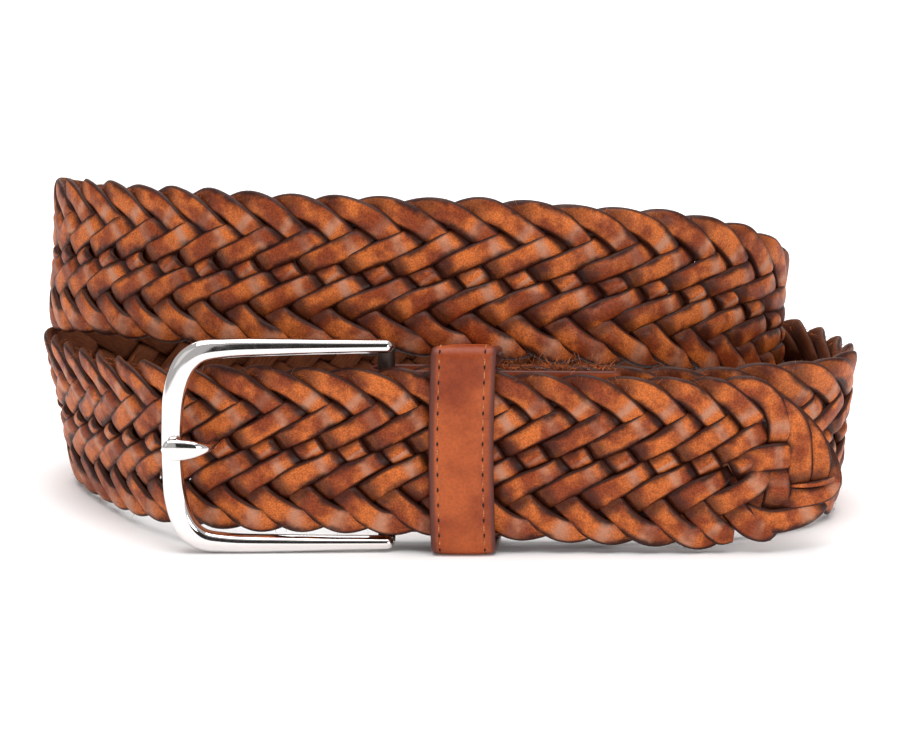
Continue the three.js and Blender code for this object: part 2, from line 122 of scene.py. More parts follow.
# Prong from its eye to its point: along shares of the buckle's length, forward in prong
# thicknesses in front of the heel bar's axis, wide and thick shares of the prong.
PRONG = (
    # along, forward, wide, thick
    (0.0, 0.95, 1.0, 1.0),
    (0.3, 0.95, 0.8, 1.0),
    (0.6, 0.8, 0.42, 0.6),
    (0.77, 0.8, 0.3, 0.5),
    (0.8, 1.9, 0.26, 0.8),
    (0.82, 3.1, 0.26, 0.8),
    (0.845, 3.75, 0.42, 0.9),
    (0.88, 4.05, 0.68, 1.0),
    (0.93, 4.25, 0.88, 1.0),
    (0.96, 4.32, 0.92, 1.0),
    (0.99, 4.35, 0.93, 0.95),
    (1.025, 4.35, 0.8, 0.85),
    (1.045, 4.3, 0.5, 0.6),
)

STRANDS = 10  # strands in the braid, and plaits in one zigzag of a strand
SWAPS = (2.5, 4.5, 5.5, 7.5)  # rows of the braid between which a strand goes over or under

# Plaits from the tip at which each strand leaves the plain braid, hidden under a neighbour
TIP_CUTS = (3.2, 4.3, 3.3, 3.0, 1.8, 2.5, 2.3, 3.45, 2.9, 2.15)

# Ends of the strands woven round the tail's tip.
# plaits: plaits from the tip. up: share of half the width above the middle.
# level: 1 over, -1 under. wide: share of the strand's width.
TIP_ENDS = {
    "first_turn": (
        (3.6, 0.78, -0.8, 1.0),
        (3.2, 0.89, 0.6, 1.0),
        (2.7, 0.88, 1.0, 1.0),
        (2.27, 0.75, 1.0, 1.0),
        (2.03, 0.55, 1.0, 1.0),
        (1.95, 0.33, 0.6, 1.0),
        (1.94, 0.12, -1.0, 1.0),
        (1.95, -0.1, 0.4, 0.95),
        (1.97, -0.29, 1.0, 0.95),
        (2.01, -0.44, 0.4, 0.95),
        (2.05, -0.58, -1.0, 0.95),
    ),
    "second_turn": (
        (2.6, 0.73, -1.0, 0.9),
        (2.2, 0.71, 0.5, 1.0),
        (1.75, 0.58, 1.0, 1.0),
        (1.47, 0.37, 1.1, 1.0),
        (1.35, 0.1, 1.1, 1.0),
        (1.37, -0.12, 0.9, 1.0),
        (1.4, -0.32, -0.9, 0.95),
    ),
    "third_turn": (
        (1.72, 0.6, -1.0, 0.9),
        (1.32, 0.43, 0.3, 0.95),
        (0.97, 0.27, 0.9, 0.95),
        (0.8, 0.07, 1.0, 0.95),
        (0.83, -0.12, 0.7, 0.95),
        (0.94, -0.32, -0.9, 0.95),
    ),
    "last_turn": (
        (0.9, 0.27, -1.2, 0.75),
        (0.57, 0.08, -0.4, 0.75),
        (0.42, -0.08, 0.3, 0.75),
        (0.4, -0.24, 1.0, 0.78),
        (0.6, -0.33, 1.1, 0.8),
        (0.95, -0.365, 1.1, 0.82),
        (1.4, -0.385, 1.1, 0.82),
        (1.75, -0.4, 0.4, 0.82),
        (2.05, -0.42, -0.9, 0.8),
    ),
    "folded_edge": (
        (0.3, -0.1, 0.4, 0.24),
        (0.33, -0.165, 1.1, 0.26),
        (0.55, -0.205, 1.55, 0.27),
        (1.0, -0.235, 1.45, 0.24),
        (1.35, -0.245, 1.2, 0.18),
        (1.7, -0.26, 0.3, 0.12),
    ),
    "cross_piece": (
        (3.2, -0.07, -1.0, 1.05),
        (2.85, 0.01, 0.5, 1.1),
        (2.5, 0.06, 1.1, 1.15),
        (2.08, 0.083, 1.1, 1.15),
        (1.73, 0.1, 0.8, 1.1),
        (1.35, 0.12, -1.0, 1.0),
    ),
    "rising_end": (
        (4.0, -0.61, -1.0, 1.0),
        (3.67, -0.51, 0.3, 1.0),
        (3.3, -0.44, 1.0, 1.0),
        (2.9, -0.33, 1.0, 1.0),
        (2.57, -0.2, 1.0, 1.0),
        (2.35, -0.06, 0.2, 1.0),
        (2.2, 0.08, -1.0, 1.0),
    ),
    "lower_end": (
        (3.3, -0.43, -1.0, 0.9),
        (2.97, -0.56, 0.0, 0.95),
        (2.55, -0.63, 0.9, 1.0),
        (2.0, -0.665, 1.0, 1.0),
        (1.38, -0.62, 1.0, 0.95),
        (0.9, -0.535, 0.7, 0.9),
        (0.53, -0.42, -0.8, 0.8),
    ),
}


def size(name, description, default):
    """A length that a user can change."""
    return bpy.props.FloatProperty(
        name=name, description=description, default=default, unit="LENGTH", precision=5
    )


def share(name, description, default):
    """A plain number that a user can change."""
    return bpy.props.FloatProperty(name=name, description=description, default=default)


def colour(name, description, default):
    """An sRGB hex colour that a user can change."""
    return bpy.props.StringProperty(name=name, description=description, default=default)


class BeltSizes(bpy.types.PropertyGroup):
    """Sizes of the belt"""

    coil_length: size("Coil length", "Across the two turns, left to right", 0.17)
    coil_depth: size("Coil depth", "Across the two turns, front to back", 0.104)
    strap_width: size("Strap width", "Width of the braid", 0.035)
    strap_thick: size("Strap thickness", "Thickness of the braid", 0.004)
    plait: size("Plait", "Length of one plait along the strap", 0.01)
    tip_length: size("Tip length", "Stretch over which the tail runs out to its tip", 0.024)
    tip_drop: share("Tip drop", "How far the tip sits below the middle, per width", 0.07)
    lace_wide: size("Lace width", "Width of one strand", 0.0054)
    lace_thick: size("Lace thickness", "Thickness of one strand", 0.0021)
    lace_rise: size("Lace rise", "How far a strand lies above the middle of the braid", 0.00105)
    lace_roll: size("Lace roll", "How far the upper edge of a strand is lifted", 0.00035)
    down_plaits: share("Plaits down", "Plaits a strand runs while it goes down", 4.2)
    buckle_length: size("Buckle length", "Heel bar to toe bar", 0.0436)
    buckle_half_height: size("Buckle half height", "Middle of the buckle to an arm", 0.0205)
    bar_high: size("Bar height", "Bar of the frame, seen from the front", 0.0035)
    bar_deep: size("Bar depth", "Bar of the frame, front to back", 0.004)
    heel_bar: size("Heel bar radius", "Bar that the tab is folded round", 0.0018)
    heel_forward: size("Heel forward", "Arms in front of the heel bar", 0.0054)
    toe_forward: size("Toe forward", "Toe bar in front of the heel bar", 0.0068)
    lug_high: size("Lug height", "Lugs that carry the heel bar behind the arms", 0.0008)
    prong_wide: size("Prong width", "Width of the prong", 0.0047)
    prong_thick: size("Prong thickness", "Thickness of the prong", 0.0024)
    tab_thick: size("Tab thickness", "Leather of the tab", 0.0014)
    keeper_wide: size("Keeper width", "Width of the keeper loop", 0.0132)
    keeper_thick: size("Keeper thickness", "Leather of the keeper loop", 0.002)
    keeper_ahead: size("Keeper ahead", "Keeper ahead of the heel bar", 0.0165)
    keeper_room: size("Keeper room", "Height of the loop past the strap's width", 0.0088)
    keeper_fall: size("Keeper fall", "How much lower its top lies at the back", 0.0026)
    keeper_shift: size("Keeper shift", "How far its back lies to the right", 0.0015)
    keeper_bow: size("Keeper bow", "How far it bows to the left at half its height", 0.0005)
    stitch_step: size("Stitch step", "From one stitch to the next", 0.0032)
    stitch_thick: size("Stitch thickness", "Thickness of the thread", 0.00042)


class BeltColours(bpy.types.PropertyGroup):
    """Colours of the belt, sRGB hex"""

    lace_light: colour("Lace, light", "Where the strands are rubbed pale", "#C26428")
    lace_middle: colour("Lace, middle", "Main tan of the strands", "#84360F")
    # Painted sheen: the pale highlight colour painted on the strands' right shoulders
    lace_painted_sheen: colour("Lace, bloom", "Bloom of wax on the strands' shoulders", "#B28872")
    # Dark: burnished edges and ends, painted shade where the strands dive under and in the creases between
    # them, and the dark fibres of the flesh side
    lace_dark: colour("Lace, dark", "Burnished edges and ends of the strands", "#240400")
    flesh: colour("Flesh side", "Rough back of the strands", "#7A4222")
    tan_light: colour("Keeper, light", "Pale tone of the keeper", "#AD501E")
    tan_dark: colour("Keeper, dark", "Deep tone of the keeper", "#802E07")
    edge_paint: colour("Edge", "Burnished edges of the keeper and tab", "#5A2A20")
    thread: colour("Thread", "Stitches of the keeper", "#C8844E")
    hole: colour("Awl hole", "Shadow and wax in the keeper's awl holes", "#1A0C08")
    nickel: colour("Nickel", "Polished nickel plate", "#E9E4E2")
    # Dark grey of the heel bar and lugs: painted shade where the arms shadow them, on matt nickel
    nickel_painted_shade: colour("Nickel, dull", "Nickel where no wheel reached", "#5A4C46")
    floor: colour("Floor", "Studio floor", "#FFFFFF")
    floor_cloud: colour("Floor, clouds", "Faint clouds on the studio floor", "#FCFCFC")
    card: colour("Card", "Dark card that the nickel mirrors", "#0E0A09")


def linear(hex_colour):
    """sRGB hex as linear RGBA."""
    channels = [int(hex_colour[k : k + 2], 16) / 255 for k in (1, 3, 5)]
    return [c / 12.92 if c <= 0.04045 else ((c + 0.055) / 1.055) ** 2.4 for c in channels] + [1.0]


def unit(vectors):
    return vectors / np.linalg.norm(vectors, axis=-1, keepdims=True)


def dot(a, b):
    return np.sum(a * b, axis=-1)


def same(direction, points):
    """One direction, given at each of the points."""
    return np.broadcast_to(np.array(direction, float), points.shape)


def distance_along(points):
    """How far each point lies from the first along the line through them."""
    return np.concatenate(([0], np.cumsum(np.linalg.norm(np.diff(points, axis=0), axis=1))))


def ease(x):
    """0 below 0, 1 above 1, smooth between."""
    x = np.clip(x, 0.0, 1.0)
    return x * x * (3 - 2 * x)


def blend_rows(rows, t):
    """Rows of a table at stations t, each column smoothed between its neighbours."""
    rows = np.asarray(rows, float)
    padded = np.vstack((2 * rows[0] - rows[1], rows, 2 * rows[-1] - rows[-2]))
    i = np.minimum(np.floor(t).astype(int), len(rows) - 2)
    f = (t - i)[:, None]
    return (
        (1 - f) ** 3 * padded[i]
        + (3 * f**3 - 6 * f**2 + 4) * padded[i + 1]
        + (-3 * f**3 + 3 * f**2 + 3 * f + 1) * padded[i + 2]
        + f**3 * padded[i + 3]
    ) / 6


class Strap:
    """The strap's middle line, with its directions, at any number of plaits from the tip."""

    def __init__(self, sizes):
        rows = np.array(ROUTE)
        t = np.linspace(0, len(rows) - 1, (len(rows) - 1) * STEPS_PER_STATION + 1)
        along, deep, up, wide, layer, over_x, over_y, plait = blend_rows(rows, t).T
        scale = (sizes.coil_length, sizes.coil_depth, sizes.strap_width)
        middle = np.column_stack((along, deep, up)) * scale
        middle[:, 1] -= layer * (sizes.strap_thick + sizes.tab_thick + 2 * GAP)
        moved = np.linalg.norm(np.diff(middle, axis=0), axis=1)
        self.plait = plait * sizes.plait
        self.length = np.concatenate(([0], np.cumsum(moved)))
        self.plaits = np.concatenate(([0], np.cumsum(moved / self.plait[1:])))
        heading = unit(np.gradient(middle, axis=0))
        over = np.column_stack((over_x, over_y, np.ones(len(t))))
        self.up = unit(over - heading * dot(over, heading)[:, None])
        self.outward = np.cross(self.up, heading)
        self.heading = heading
        self.half = wide * sizes.strap_width / 2
        self.middle = middle
        self.place(sizes)
        self.total = self.plaits[-1]

    def place(self, sizes):
        """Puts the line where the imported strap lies."""
        skins = [
            self.middle + a * self.up * self.half[:, None] + b * self.outward * sizes.strap_thick / 2
            for a in (-1, 1)
            for b in (-1, 1)
        ]
        own = np.vstack(skins)
        low, high = (np.array(corner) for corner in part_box("braided_strap"))
        self.shift = (low + high) / 2 - (own.min(0) + own.max(0)) / 2
        self.middle = self.middle + self.shift

    def at(self, plaits, name):
        """One of the strap's values at these plaits from the tip."""
        values = getattr(self, name)
        if values.ndim == 1:
            return np.interp(plaits, self.plaits, values)
        return np.column_stack([np.interp(plaits, self.plaits, column) for column in values.T])


def sweep(rings, closed=False):
    """Points and faces of a skin over rings of equal count, its ends closed by fans."""
    rings = np.asarray(rings)
    spans, count = rings.shape[:2]
    points = rings.reshape(-1, 3)
    i = np.arange(spans if closed else spans - 1)[:, None] * count
    k = np.arange(count)[None, :]
    ahead = (i + count) % (spans * count)
    turn = (k + 1) % count
    faces = np.stack((i + k, ahead + k, ahead + turn, i + turn), axis=-1).reshape(-1, 4).tolist()
    if not closed:
        last = (spans - 1) * count
        points = np.vstack((points, rings[0].mean(0), rings[-1].mean(0)))
        start, end = spans * count, spans * count + 1
        faces += [[start, a, (a + 1) % count] for a in range(count)]
        faces += [[end, last + (a + 1) % count, last + a] for a in range(count)]
    return points, faces


def add_mesh(name, points, faces, material):
    """A smooth-shaded object at the origin, with its faces turned outwards."""
    mesh = bpy.data.meshes.new(name)
    mesh.from_pydata(np.asarray(points).tolist(), [], faces)
    mesh.validate()
    corners = np.zeros(len(mesh.vertices) * 3)
    mesh.vertices.foreach_get("co", corners)
    corners = corners.reshape(-1, 3)
    mesh.calc_loop_triangles()
    tri = np.zeros(len(mesh.loop_triangles) * 3, int)
    mesh.loop_triangles.foreach_get("vertices", tri)
    a, b, c = corners[tri.reshape(-1, 3)].transpose(1, 0, 2)
    if dot(a, np.cross(b, c)).sum() < 0:
        mesh.flip_normals()
    mesh.shade_smooth()
    mesh.materials.append(material)
    made = bpy.data.objects.new(name, mesh)
    bpy.context.scene.collection.objects.link(made)
    return made


def add_attribute(made, name, values):
    layer = made.data.attributes.new(name, "FLOAT", "POINT")
    layer.data.foreach_set("value", np.asarray(values, np.float32))


def finish_piece(made, slot, *nodes):
    """Rides on the belt's one body and hides the named nodes that it stands for. The slot is not used."""
    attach(made, "root")
    if nodes:
        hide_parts(*nodes)


def wire(tree, node, inputs):
    """Gives each input of a node its value, or links it where a socket is given."""
    for key, value in inputs.items():
        if isinstance(value, bpy.types.NodeSocket):
            tree.links.new(value, node.inputs[key])
        else:
            node.inputs[key].default_value = value


def add_node(tree, kind, inputs=None, **settings):
    """Adds a node with its settings and its inputs."""
    node = tree.nodes.new(kind)
    for key, value in settings.items():
        setattr(node, key, value)
    wire(tree, node, inputs or {})
    return node


def new_material(name):
    """An empty node material, its tree and its Principled shader."""
    material = bpy.data.materials.new(name)
    material.use_nodes = True
    tree = material.node_tree
    tree.nodes.clear()
    shader = add_node(tree, "ShaderNodeBsdfPrincipled")
    add_node(tree, "ShaderNodeOutputMaterial", {"Surface": shader.outputs[0]})
    return material, tree, shader


def object_place(tree):
    return add_node(tree, "ShaderNodeTexCoord").outputs["Object"]


def attribute(tree, name):
    return add_node(tree, "ShaderNodeAttribute", attribute_name=name).outputs["Fac"]


def noise(tree, place, scale, detail=2.0):
    """Noise from 0 to 1, with this many waves to a metre."""
    inputs = {"Vector": place, "Scale": scale, "Detail": detail}
    return add_node(tree, "ShaderNodeTexNoise", inputs).outputs["Fac"]


def mix_colour(tree, factor, first, second, blend="MIX"):
    inputs = {"Factor": factor, 6: first, 7: second}
    return add_node(tree, "ShaderNodeMix", inputs, data_type="RGBA", blend_type=blend).outputs[2]


def span(tree, value, low, high, to_low=0.0, to_high=1.0):
    """Value from low to high, as to_low to to_high."""
    inputs = {"Value": value, 1: low, 2: high, 3: to_low, 4: to_high}
    return add_node(tree, "ShaderNodeMapRange", inputs, interpolation_type="SMOOTHSTEP").outputs[0]


def math_node(tree, operation, first, second=0.0):
    return add_node(tree, "ShaderNodeMath", {0: first, 1: second}, operation=operation).outputs[0]


def bump(tree, height, strength, distance):
    inputs = {"Height": height, "Strength": strength, "Distance": distance}
    return add_node(tree, "ShaderNodeBump", inputs).outputs[0]


def burnished_lace(colours):
    """Vegetable-tanned cowhide lace, dyed and burnished by hand: tan where it was rubbed, red-black along
    its burnished edges and ends, with a speckled grain and a thin coat of wax.
    Painted shade is added where it dives under, in the creases at its edges and on the shoulder it turns
    to the left; a painted sheen lies on the shoulder it turns to the right."""
    material, tree, shader = new_material("burnished leather lace")
    place = object_place(tree)
    run = add_node(tree, "ShaderNodeUVMap", uv_map="run").outputs[0]
    across, exposure = attribute(tree, "across"), attribute(tree, "exposure")
    flesh, shoulder = attribute(tree, "flesh"), attribute(tree, "shoulder")
    # Rubbed patches of 4 to 8 mm, mottling of 1 mm and grain of 0.3 mm
    drift = noise(tree, place, 120.0)
    patches = noise(tree, place, 190.0, 3.0)
    mottle = noise(tree, place, 900.0, 4.0)
    grain = noise(tree, place, 3000.0, 3.0)
    tone = span(tree, patches, 0.38, 0.62)
    base = mix_colour(tree, tone, linear(colours.lace_middle), linear(colours.lace_light))
    speckle = span(tree, grain, 0.32, 0.68, 0.66, 1.28)
    base = mix_colour(tree, 1.0, base, speckle, "MULTIPLY")
    # Painted sheen: a pale highlight painted on the shoulder that a strand turns to the right, where the
    # right light would glint
    uneven = span(tree, patches, 0.35, 0.65, 0.15, 0.65)
    painted_sheen = math_node(tree, "MULTIPLY", span(tree, shoulder, 0.04, 0.3), uneven)
    painted_sheen = math_node(tree, "MULTIPLY", painted_sheen, span(tree, shoulder, 0.85, 0.4))
    base = mix_colour(tree, painted_sheen, base, linear(colours.lace_painted_sheen))
    # Burnished dark along the edges; the dark band wanders from one side of a strand to the other
    wander = span(tree, drift, 0.3, 0.7, -0.3, 0.3)
    broken = span(tree, mottle, 0.25, 0.75, -0.07, 0.07)
    off_middle = math_node(tree, "ABSOLUTE", math_node(tree, "ADD", across, wander))
    rim = span(tree, math_node(tree, "ADD", off_middle, broken), 0.48, 1.08)
    # Thin near-black line at each edge: burnish, plus painted shade of the crease between strands
    line = span(tree, math_node(tree, "ABSOLUTE", across), 0.66, 0.88)
    # Painted shade where the strand dives under its neighbour, on top of the burnished end
    dive = span(tree, math_node(tree, "ADD", exposure, broken), 0.8, 0.0)
    # Painted shade on the shoulder that a strand turns to the left, away from the right light
    left = span(tree, shoulder, -0.2, -0.95, 0.0, 0.8)
    dark = math_node(tree, "MAXIMUM", math_node(tree, "MAXIMUM", rim, line), dive)
    dark = math_node(tree, "MAXIMUM", dark, left)
    base = mix_colour(tree, math_node(tree, "MULTIPLY", dark, 0.95), base, linear(colours.lace_dark))
    # Flesh side: paler, felted fibres that run along the strand
    stretched = add_node(
        tree, "ShaderNodeVectorMath", {0: run, 1: (400.0, 2400.0, 1.0)}, operation="MULTIPLY"
    ).outputs[0]
    fibres = noise(tree, stretched, 1.0, 4.0)
    felt = mix_colour(tree, fibres, linear(colours.lace_dark), linear(colours.flesh))
    rough = span(tree, mottle, 0.3, 0.7, 0.5, 0.66)
    height = math_node(tree, "ADD", grain, math_node(tree, "MULTIPLY", mottle, 1.2))
    # Wax lies on the burnished side alone
    grain_side = math_node(tree, "SUBTRACT", 1.0, flesh)
    finish = {
        "Base Color": mix_colour(tree, flesh, base, felt),
        "Roughness": math_node(tree, "MAXIMUM", rough, math_node(tree, "MULTIPLY", flesh, 0.85)),
        "Specular IOR Level": 0.2,
        "Normal": bump(tree, height, 0.5, 0.00014),
        "Coat Weight": math_node(tree, "MULTIPLY", grain_side, 0.12),
        "Coat Roughness": 0.27,
    }
    wire(tree, shader, finish)
    return material


def smooth_calf(colours):
    """Smooth tan calf, waxed: even tone with soft darker clouds, fine pores, low gloss,
    and edges burnished to a dark plum brown."""
    material, tree, shader = new_material("smooth tan calf")
    place = object_place(tree)
    clouds = noise(tree, place, 90.0, 3.0)
    grain = noise(tree, place, 1900.0, 5.0)
    pores = add_node(tree, "ShaderNodeTexVoronoi", {"Vector": place, "Scale": 2600.0})
    tone = span(tree, clouds, 0.35, 0.68)
    base = mix_colour(tree, tone, linear(colours.tan_light), linear(colours.tan_dark))
    base = mix_colour(tree, 1.0, base, span(tree, grain, 0.3, 0.7, 0.86, 1.1), "MULTIPLY")
    height = math_node(tree, "ADD", grain, pores.outputs["Distance"])
    finish = {
        "Base Color": mix_colour(tree, attribute(tree, "edge"), base, linear(colours.edge_paint)),
        "Roughness": span(tree, clouds, 0.3, 0.7, 0.36, 0.5),
        "Specular IOR Level": 0.32,
        "Normal": bump(tree, height, 0.25, 0.00008),
    }
    wire(tree, shader, finish)
    return material


def polished_nickel(colours):
    """Nickel plate polished on a wheel: a mirror with hair-fine wheel marks and a warm white colour."""
    material, tree, shader = new_material("polished nickel plate")
    rough = span(tree, noise(tree, object_place(tree), 700.0), 0.3, 0.7, 0.06, 0.12)
    base = linear(colours.nickel)
    wire(tree, shader, {"Base Color": base, "Metallic": 1.0, "Roughness": rough})
    return material


def matt_nickel_painted_shade(colours):
    """Matt nickel where no wheel reached; its dark grey colour is painted shade for the heel bar and lugs
    under the arms.
    """
    material, tree, shader = new_material("unpolished nickel")
    base = linear(colours.nickel_painted_shade)
    wire(tree, shader, {"Base Color": base, "Metallic": 1.0, "Roughness": 0.55})
    return material


def mottled(name, scale, first, second, rough):
    """A matt material that wanders between two colours."""
    material, tree, shader = new_material(name)
    tone = span(tree, noise(tree, object_place(tree), scale), 0.35, 0.65)
    base = mix_colour(tree, tone, linear(first), linear(second))
    wire(tree, shader, {"Base Color": base, "Roughness": rough})
    return material


def loose_fibre(colours):
    """Fibres torn from the cut edges of the strands: matt and a little paler than the flesh side."""
    return mottled("loose leather fibre", 500.0, colours.flesh, colours.lace_light, 0.9)


def waxed_thread(colours):
    """Waxed linen thread: matt, a little lighter than the leather."""
    return mottled("waxed linen thread", 4000.0, colours.thread, colours.tan_dark, 0.7)


def awl_hole(colours):
    """Shadow and dark wax inside the holes that the awl left."""
    material, tree, shader = new_material("awl hole")
    wire(tree, shader, {"Base Color": linear(colours.hole), "Roughness": 0.9})
    return material


def rounded_ring(points, u, half_u, v, half_v, count, square):
    """Rounded rings: half_u and half_v are half sizes along the directions u and v."""
    angle = (np.arange(count) + 0.5) / count * 2 * np.pi
    cos = np.sign(np.cos(angle)) * np.abs(np.cos(angle)) ** (2 / square)
    sin = np.sign(np.sin(angle)) * np.abs(np.sin(angle)) ** (2 / square)
    half_u = np.broadcast_to(half_u, len(points))
    half_v = np.broadcast_to(half_v, len(points))
    return (
        points[:, None]
        + u[:, None] * (half_u[:, None] * cos)[:, :, None]
        + v[:, None] * (half_v[:, None] * sin)[:, :, None]
    )


LINE_STEP = 0.01  # plaits between the points of a strand's line before it is smoothed
TURN_SOFT = 1.05  # plaits over which a strand turns at the edge
LEAN = 0.115  # how much steeper the strands going down are in the middle of the braid
RISE_LEAN = 0.03  # how much flatter the strands going up are there
EDGE_SOFT = 0.5  # plaits over which a strand comes over at the edge, half
SWAP_HALF = 0.37  # rows over which a strand goes from over to under, half
LACE_STEP = 0.8 * MM
LACE_SIDES = 16
SHOULDER = 4.5 * MM  # reach of the shoulder of a strand that turns under
RISING_WAIST = 0.2  # how much narrower a strand going up is in the middle of the braid
FALLING_WAIST = 0.02  # how much narrower a strand going down is there
TUCK = 0.4  # plaits over which a strand tucks under and tapers at its end
PRESSED = 0.25 * MM  # how soon a strand is pressed flat where it rests


def strand_line(total, start, down, cut):
    """Plaits rightwards from the tip, and share of the way down, along one strand."""
    tau = np.arange(-total - 1.5, 1.5, LINE_STEP)
    phase = np.mod(tau - start, STRANDS)
    fall = phase / down
    rise = (phase - down) / (STRANDS - down)
    falling = fall - LEAN * np.sin(2 * np.pi * fall)
    rising = 1 - rise - RISE_LEAN * np.sin(2 * np.pi * rise)
    low = np.where(phase < down, falling, rising)
    reach = int(TURN_SOFT / LINE_STEP)
    kernel = 1 + np.cos(np.pi * np.arange(-reach, reach + 1) / (reach + 1))
    low = np.convolve(low, kernel / kernel.sum(), mode="same")
    inside = (tau > -total - 0.5) & (tau < 0.5)
    low = 0.5 + (low - 0.5) * 0.5 / max(low[inside].max() - 0.5, 0.5 - low[inside].min())
    inside &= tau < -cut
    return tau[inside], low[inside]


def over_or_under(row):
    """+1 where a strand going down lies over at this row of the braid, -1 where it lies under."""
    sign = np.ones_like(row)
    for k, swap in enumerate(SWAPS):
        step = ease((row - swap + SWAP_HALF) / (2 * SWAP_HALF))
        sign += (-2 if k % 2 == 0 else 2) * step
    return sign


def plaits_run(low, plaits, lean):
    """Plaits that a strand has run over this share of the way from the top."""
    x = np.linspace(0, 1, 201)
    inner = np.interp(low, x + lean * np.sin(2 * np.pi * x), x)
    return plaits * (inner + np.minimum(low, 0) + np.maximum(low - 1, 0))


def wobble(run, rng, period):
    """Smooth random wave of about unit height along a run."""
    waves = [
        np.sin(2 * np.pi * run / (period * stretch) + rng.uniform(0, 2 * np.pi))
        for stretch in (0.6, 1.0, 1.7)
    ]
    return sum(waves) / 2


class Lace:
    """One strand's line through the strap in even steps, with its directions."""

    def __init__(self, strap, q, height, columns):
        line = strap.at(q, "middle") + strap.at(q, "up") * height[:, None]
        run = distance_along(line)
        self.run = np.arange(0, run[-1], LACE_STEP)
        self.q = np.interp(self.run, run, q)
        self.columns = [np.interp(self.run, run, column) for column in columns]
        self.line = np.column_stack([np.interp(self.run, run, column) for column in line.T])
        self.up = unit(strap.at(self.q, "up"))
        self.outward = unit(strap.at(self.q, "outward"))
        self.right = -unit(strap.at(self.q, "heading"))
        heading = unit(np.gradient(self.line, axis=0))
        self.side = unit(np.cross(self.outward, heading))
        # Curvature in the plane of the braid, positive where the strand turns upwards
        slope = np.unwrap(np.arctan2(dot(heading, self.up), dot(heading, self.right)))
        self.bend = np.gradient(slope) / LACE_STEP


def lace_rings(lace, sizes, rng, wide, level_of):
    """Rings of a lace, and for each of its points the values that the finish reads."""
    half_wide = sizes.lace_wide / 2
    angle = (np.arange(LACE_SIDES) + 0.5) / LACE_SIDES * 2 * np.pi
    across = np.sign(np.cos(angle)) * np.abs(np.cos(angle)) ** 0.85
    thick = np.sign(np.sin(angle)) * np.abs(np.sin(angle)) ** 0.95
    breadth = half_wide * wide * (1 + 0.05 * wobble(lace.run, rng, 0.019))
    u = breadth[:, None] * across[None]
    # The inner edge gathers where the lace turns tightly
    squeeze = np.abs(u * lace.bend[:, None]) * (u * lace.bend[:, None] > 0)
    u = u / (1 + squeeze**3) ** (1 / 3)
    u = u + 0.2 * MM * wobble(lace.run, rng, 0.023)[:, None]
    level, turned = level_of(u)
    lift = sizes.lace_rise * level + sizes.lace_roll * (u / half_wide) * level
    lift += 0.08 * MM * wobble(lace.run, rng, 0.03)[:, None]
    body = sizes.lace_thick / 2 * thick[None] * np.minimum(1.0, 0.4 + 0.6 * wide)[:, None]
    rings = (
        lace.line[:, None]
        + lace.side[:, None] * u[:, :, None]
        + lace.outward[:, None] * (lift + body)[:, :, None]
    )
    # Strands that rest on the surface are pressed flat there
    rest = rings[:, :, 2]
    rings[:, :, 2] = (rest + np.sqrt(rest**2 + PRESSED**2)) / 2
    # Where the level falls towards the right, over a stretch of a few millimetres; this places the painted
    # sheen there and the painted shade where the level rises
    reach = int(SHOULDER / LACE_STEP)
    kernel = 1 + np.cos(np.pi * np.arange(-reach, reach + 1) / (reach + 1))
    middle = np.clip(level.mean(1), -1, 1)
    padded = np.pad(middle, reach, mode="edge")
    arch = np.convolve(padded, kernel / kernel.sum(), mode="valid")
    towards = np.sign(dot(np.gradient(lace.line, axis=0), lace.right))
    shoulder = -np.gradient(arch) / LACE_STEP * towards * 3 * MM
    shoulder = np.clip(shoulder, -1, 1)[:, None] * np.ones_like(u)
    shown = np.clip(level, -1, 1) * np.where(thick >= 0, 1, -1)[None]
    values = {
        "across": across[None] * np.ones_like(u),
        "exposure": np.maximum(shown, turned),
        "flesh": (thick < -0.2)[None] * np.ones_like(u),
        "shoulder": shoulder,
    }
    return rings, values, lace.run, across * half_wide


